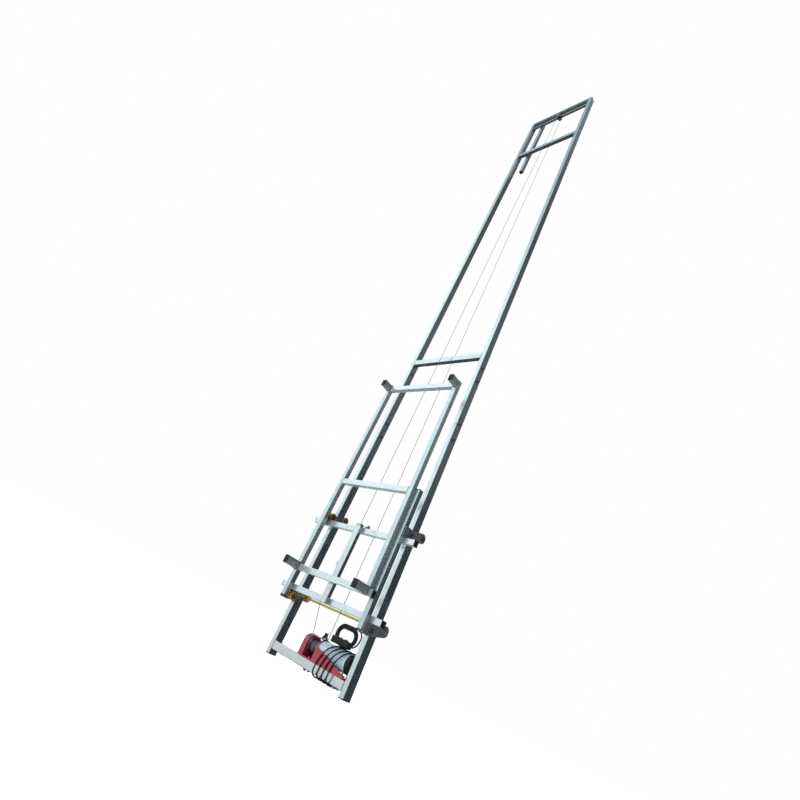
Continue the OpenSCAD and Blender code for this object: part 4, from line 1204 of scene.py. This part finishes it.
def makePendant():
    low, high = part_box("pendant_casing")
    end = high.x - pendant["boot"]
    middle = (low.z + high.z) / 2
    bm = bmesh.new()
    boxInto(bm, low, Vector((end, high.y, high.z)), pendant["round"], 5)
    cutWells(bm, high.z)
    seam = Vector((pendant["sink"], pendant["sink"], 0)) * 0.5
    boxInto(
        bm, Vector((low.x, low.y, middle - pendant["seam"] / 2)) - seam,
        Vector((end, high.y, middle + pendant["seam"] / 2)) + seam, pendant["round"], 5, 2)
    rings = [(reach * mm, pendant["bootTip"] + swell * mm) for reach, swell in pendant["bootRings"]]
    spinInto(bm, Vector((end, (low.y + high.y) / 2, middle)), (1, 0, 0), [
        (pendant["bootFrom"], pendant["bootRoot"]), (pendant["bootTo"], pendant["bootRoot"]), *rings,
        (pendant["boot"], pendant["bootTip"]), (pendant["boot"], cord["thick"] / 2)], pendant["bootSteps"])
    edge = pendant["bezelEdge"]
    for node in buttonNodes:
        first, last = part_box(node)
        radius = (last.x - first.x) / 2
        inner, outer, top = radius + pendant["bezelGap"], radius + pendant["bezel"], pendant["bezelHeight"]
        centre = Vector(((first.x + last.x) / 2, (first.y + last.y) / 2, high.z - pendant["bezelSink"]))
        spinInto(bm, centre, (0, 0, 1), [
            (0, outer + edge), (top * 0.6, outer), (top, outer - edge), (top, inner), (0, inner),
            (0, outer + edge)], button["steps"])
    casing = showMesh(
        "pendant_shell", bm, finishes["black_plastic"], "mast", ["pendant_casing"])
    return [casing, *(makeButton(node, body) for node, body in buttonNodes.items())]


def makeButton(node, body):
    low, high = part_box(node)
    radius = (high.x - low.x) / 2
    height = high.z - low.z
    origin = Vector(((low.x + high.x) / 2, (low.y + high.y) / 2, low.z))
    bm = bmesh.new()
    rim = [(height - drop * mm, radius - inset * mm) for drop, inset in button["rim"]]
    dish = [(height - drop * mm, radius * part) for drop, part in button["dish"]]
    spinInto(bm, origin, (0, 0, 1), [(0, 0), (0, radius), *rim, *dish], button["steps"])
    return showMesh(node + "_cap", bm, finishes[nodeSlot[node]], body, [node])


# Power plug: a ribbed boot, a round body and two pins

# Neck and grip are given in mm; the pin's tip in parts of its radius
plug = {
    "body": 17 * mm, "bodyHeight": 35 * mm, "neck": [(0, 5), (5, 6), (9, 8.5), (11, 14)], "steps": 40,
    "grips": 5, "gripFrom": 13 * mm, "gripPitch": 3.4 * mm, "grip": [(0, 0.9), (0.8, 0), (2.4, 0)],
    "foot": [(1.5, 0.6), (0, 2.2)], "pin": 2.4 * mm, "pinGap": 19 * mm,
    "pinTip": [(1, 1), (0.35, 0.8), (0, 0.35)], "pinSteps": 20,
}


def makePlug():
    low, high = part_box("power_plug")
    origin = Vector(((low.x + high.x) / 2, (low.y + high.y) / 2, high.z))
    body, tall, pin = plug["body"], plug["bodyHeight"], plug["pin"]
    neck = [(0, cord["thick"] / 2), *((reach * mm, radius * mm) for reach, radius in plug["neck"])]
    grips = []
    for i in range(plug["grips"]):
        at = plug["gripFrom"] + i * plug["gripPitch"]
        grips += [(at + reach * mm, body - drop * mm) for reach, drop in plug["grip"]]
    foot = [(tall - back * mm, body - drop * mm) for back, drop in plug["foot"]]
    bm = bmesh.new()
    spinInto(bm, origin, (0, 0, -1), [*neck, *grips, *foot, (tall, 0)], plug["steps"])
    shell = showMesh(
        "power_plug_shell", bm, finishes["black_plastic"], "mast", ["power_plug"])
    pins = bmesh.new()
    reach = high.z - low.z - tall
    tip = [(reach - pin * back, pin * part) for back, part in plug["pinTip"]]
    for side in (-1, 1):
        start = origin + Vector((side * plug["pinGap"] / 2, 0, -tall))
        spinInto(pins, start, (0, 0, -1), [(0, pin), *tip, (reach, 0)], plug["pinSteps"])
    return [shell, showMesh("power_plug_pins", pins, finishes["zinc_steel"], "mast")]


pendantPieces = makePendant()
plugPieces = makePlug()
lengthOf(pendantPath)
lengthOf(powerPath)
print("stage: pendant and plug made")

for node, piece in cadNodes.items():
    piece.data.materials.clear()
    piece.data.materials.append(finishes[nodeSlot[node]])
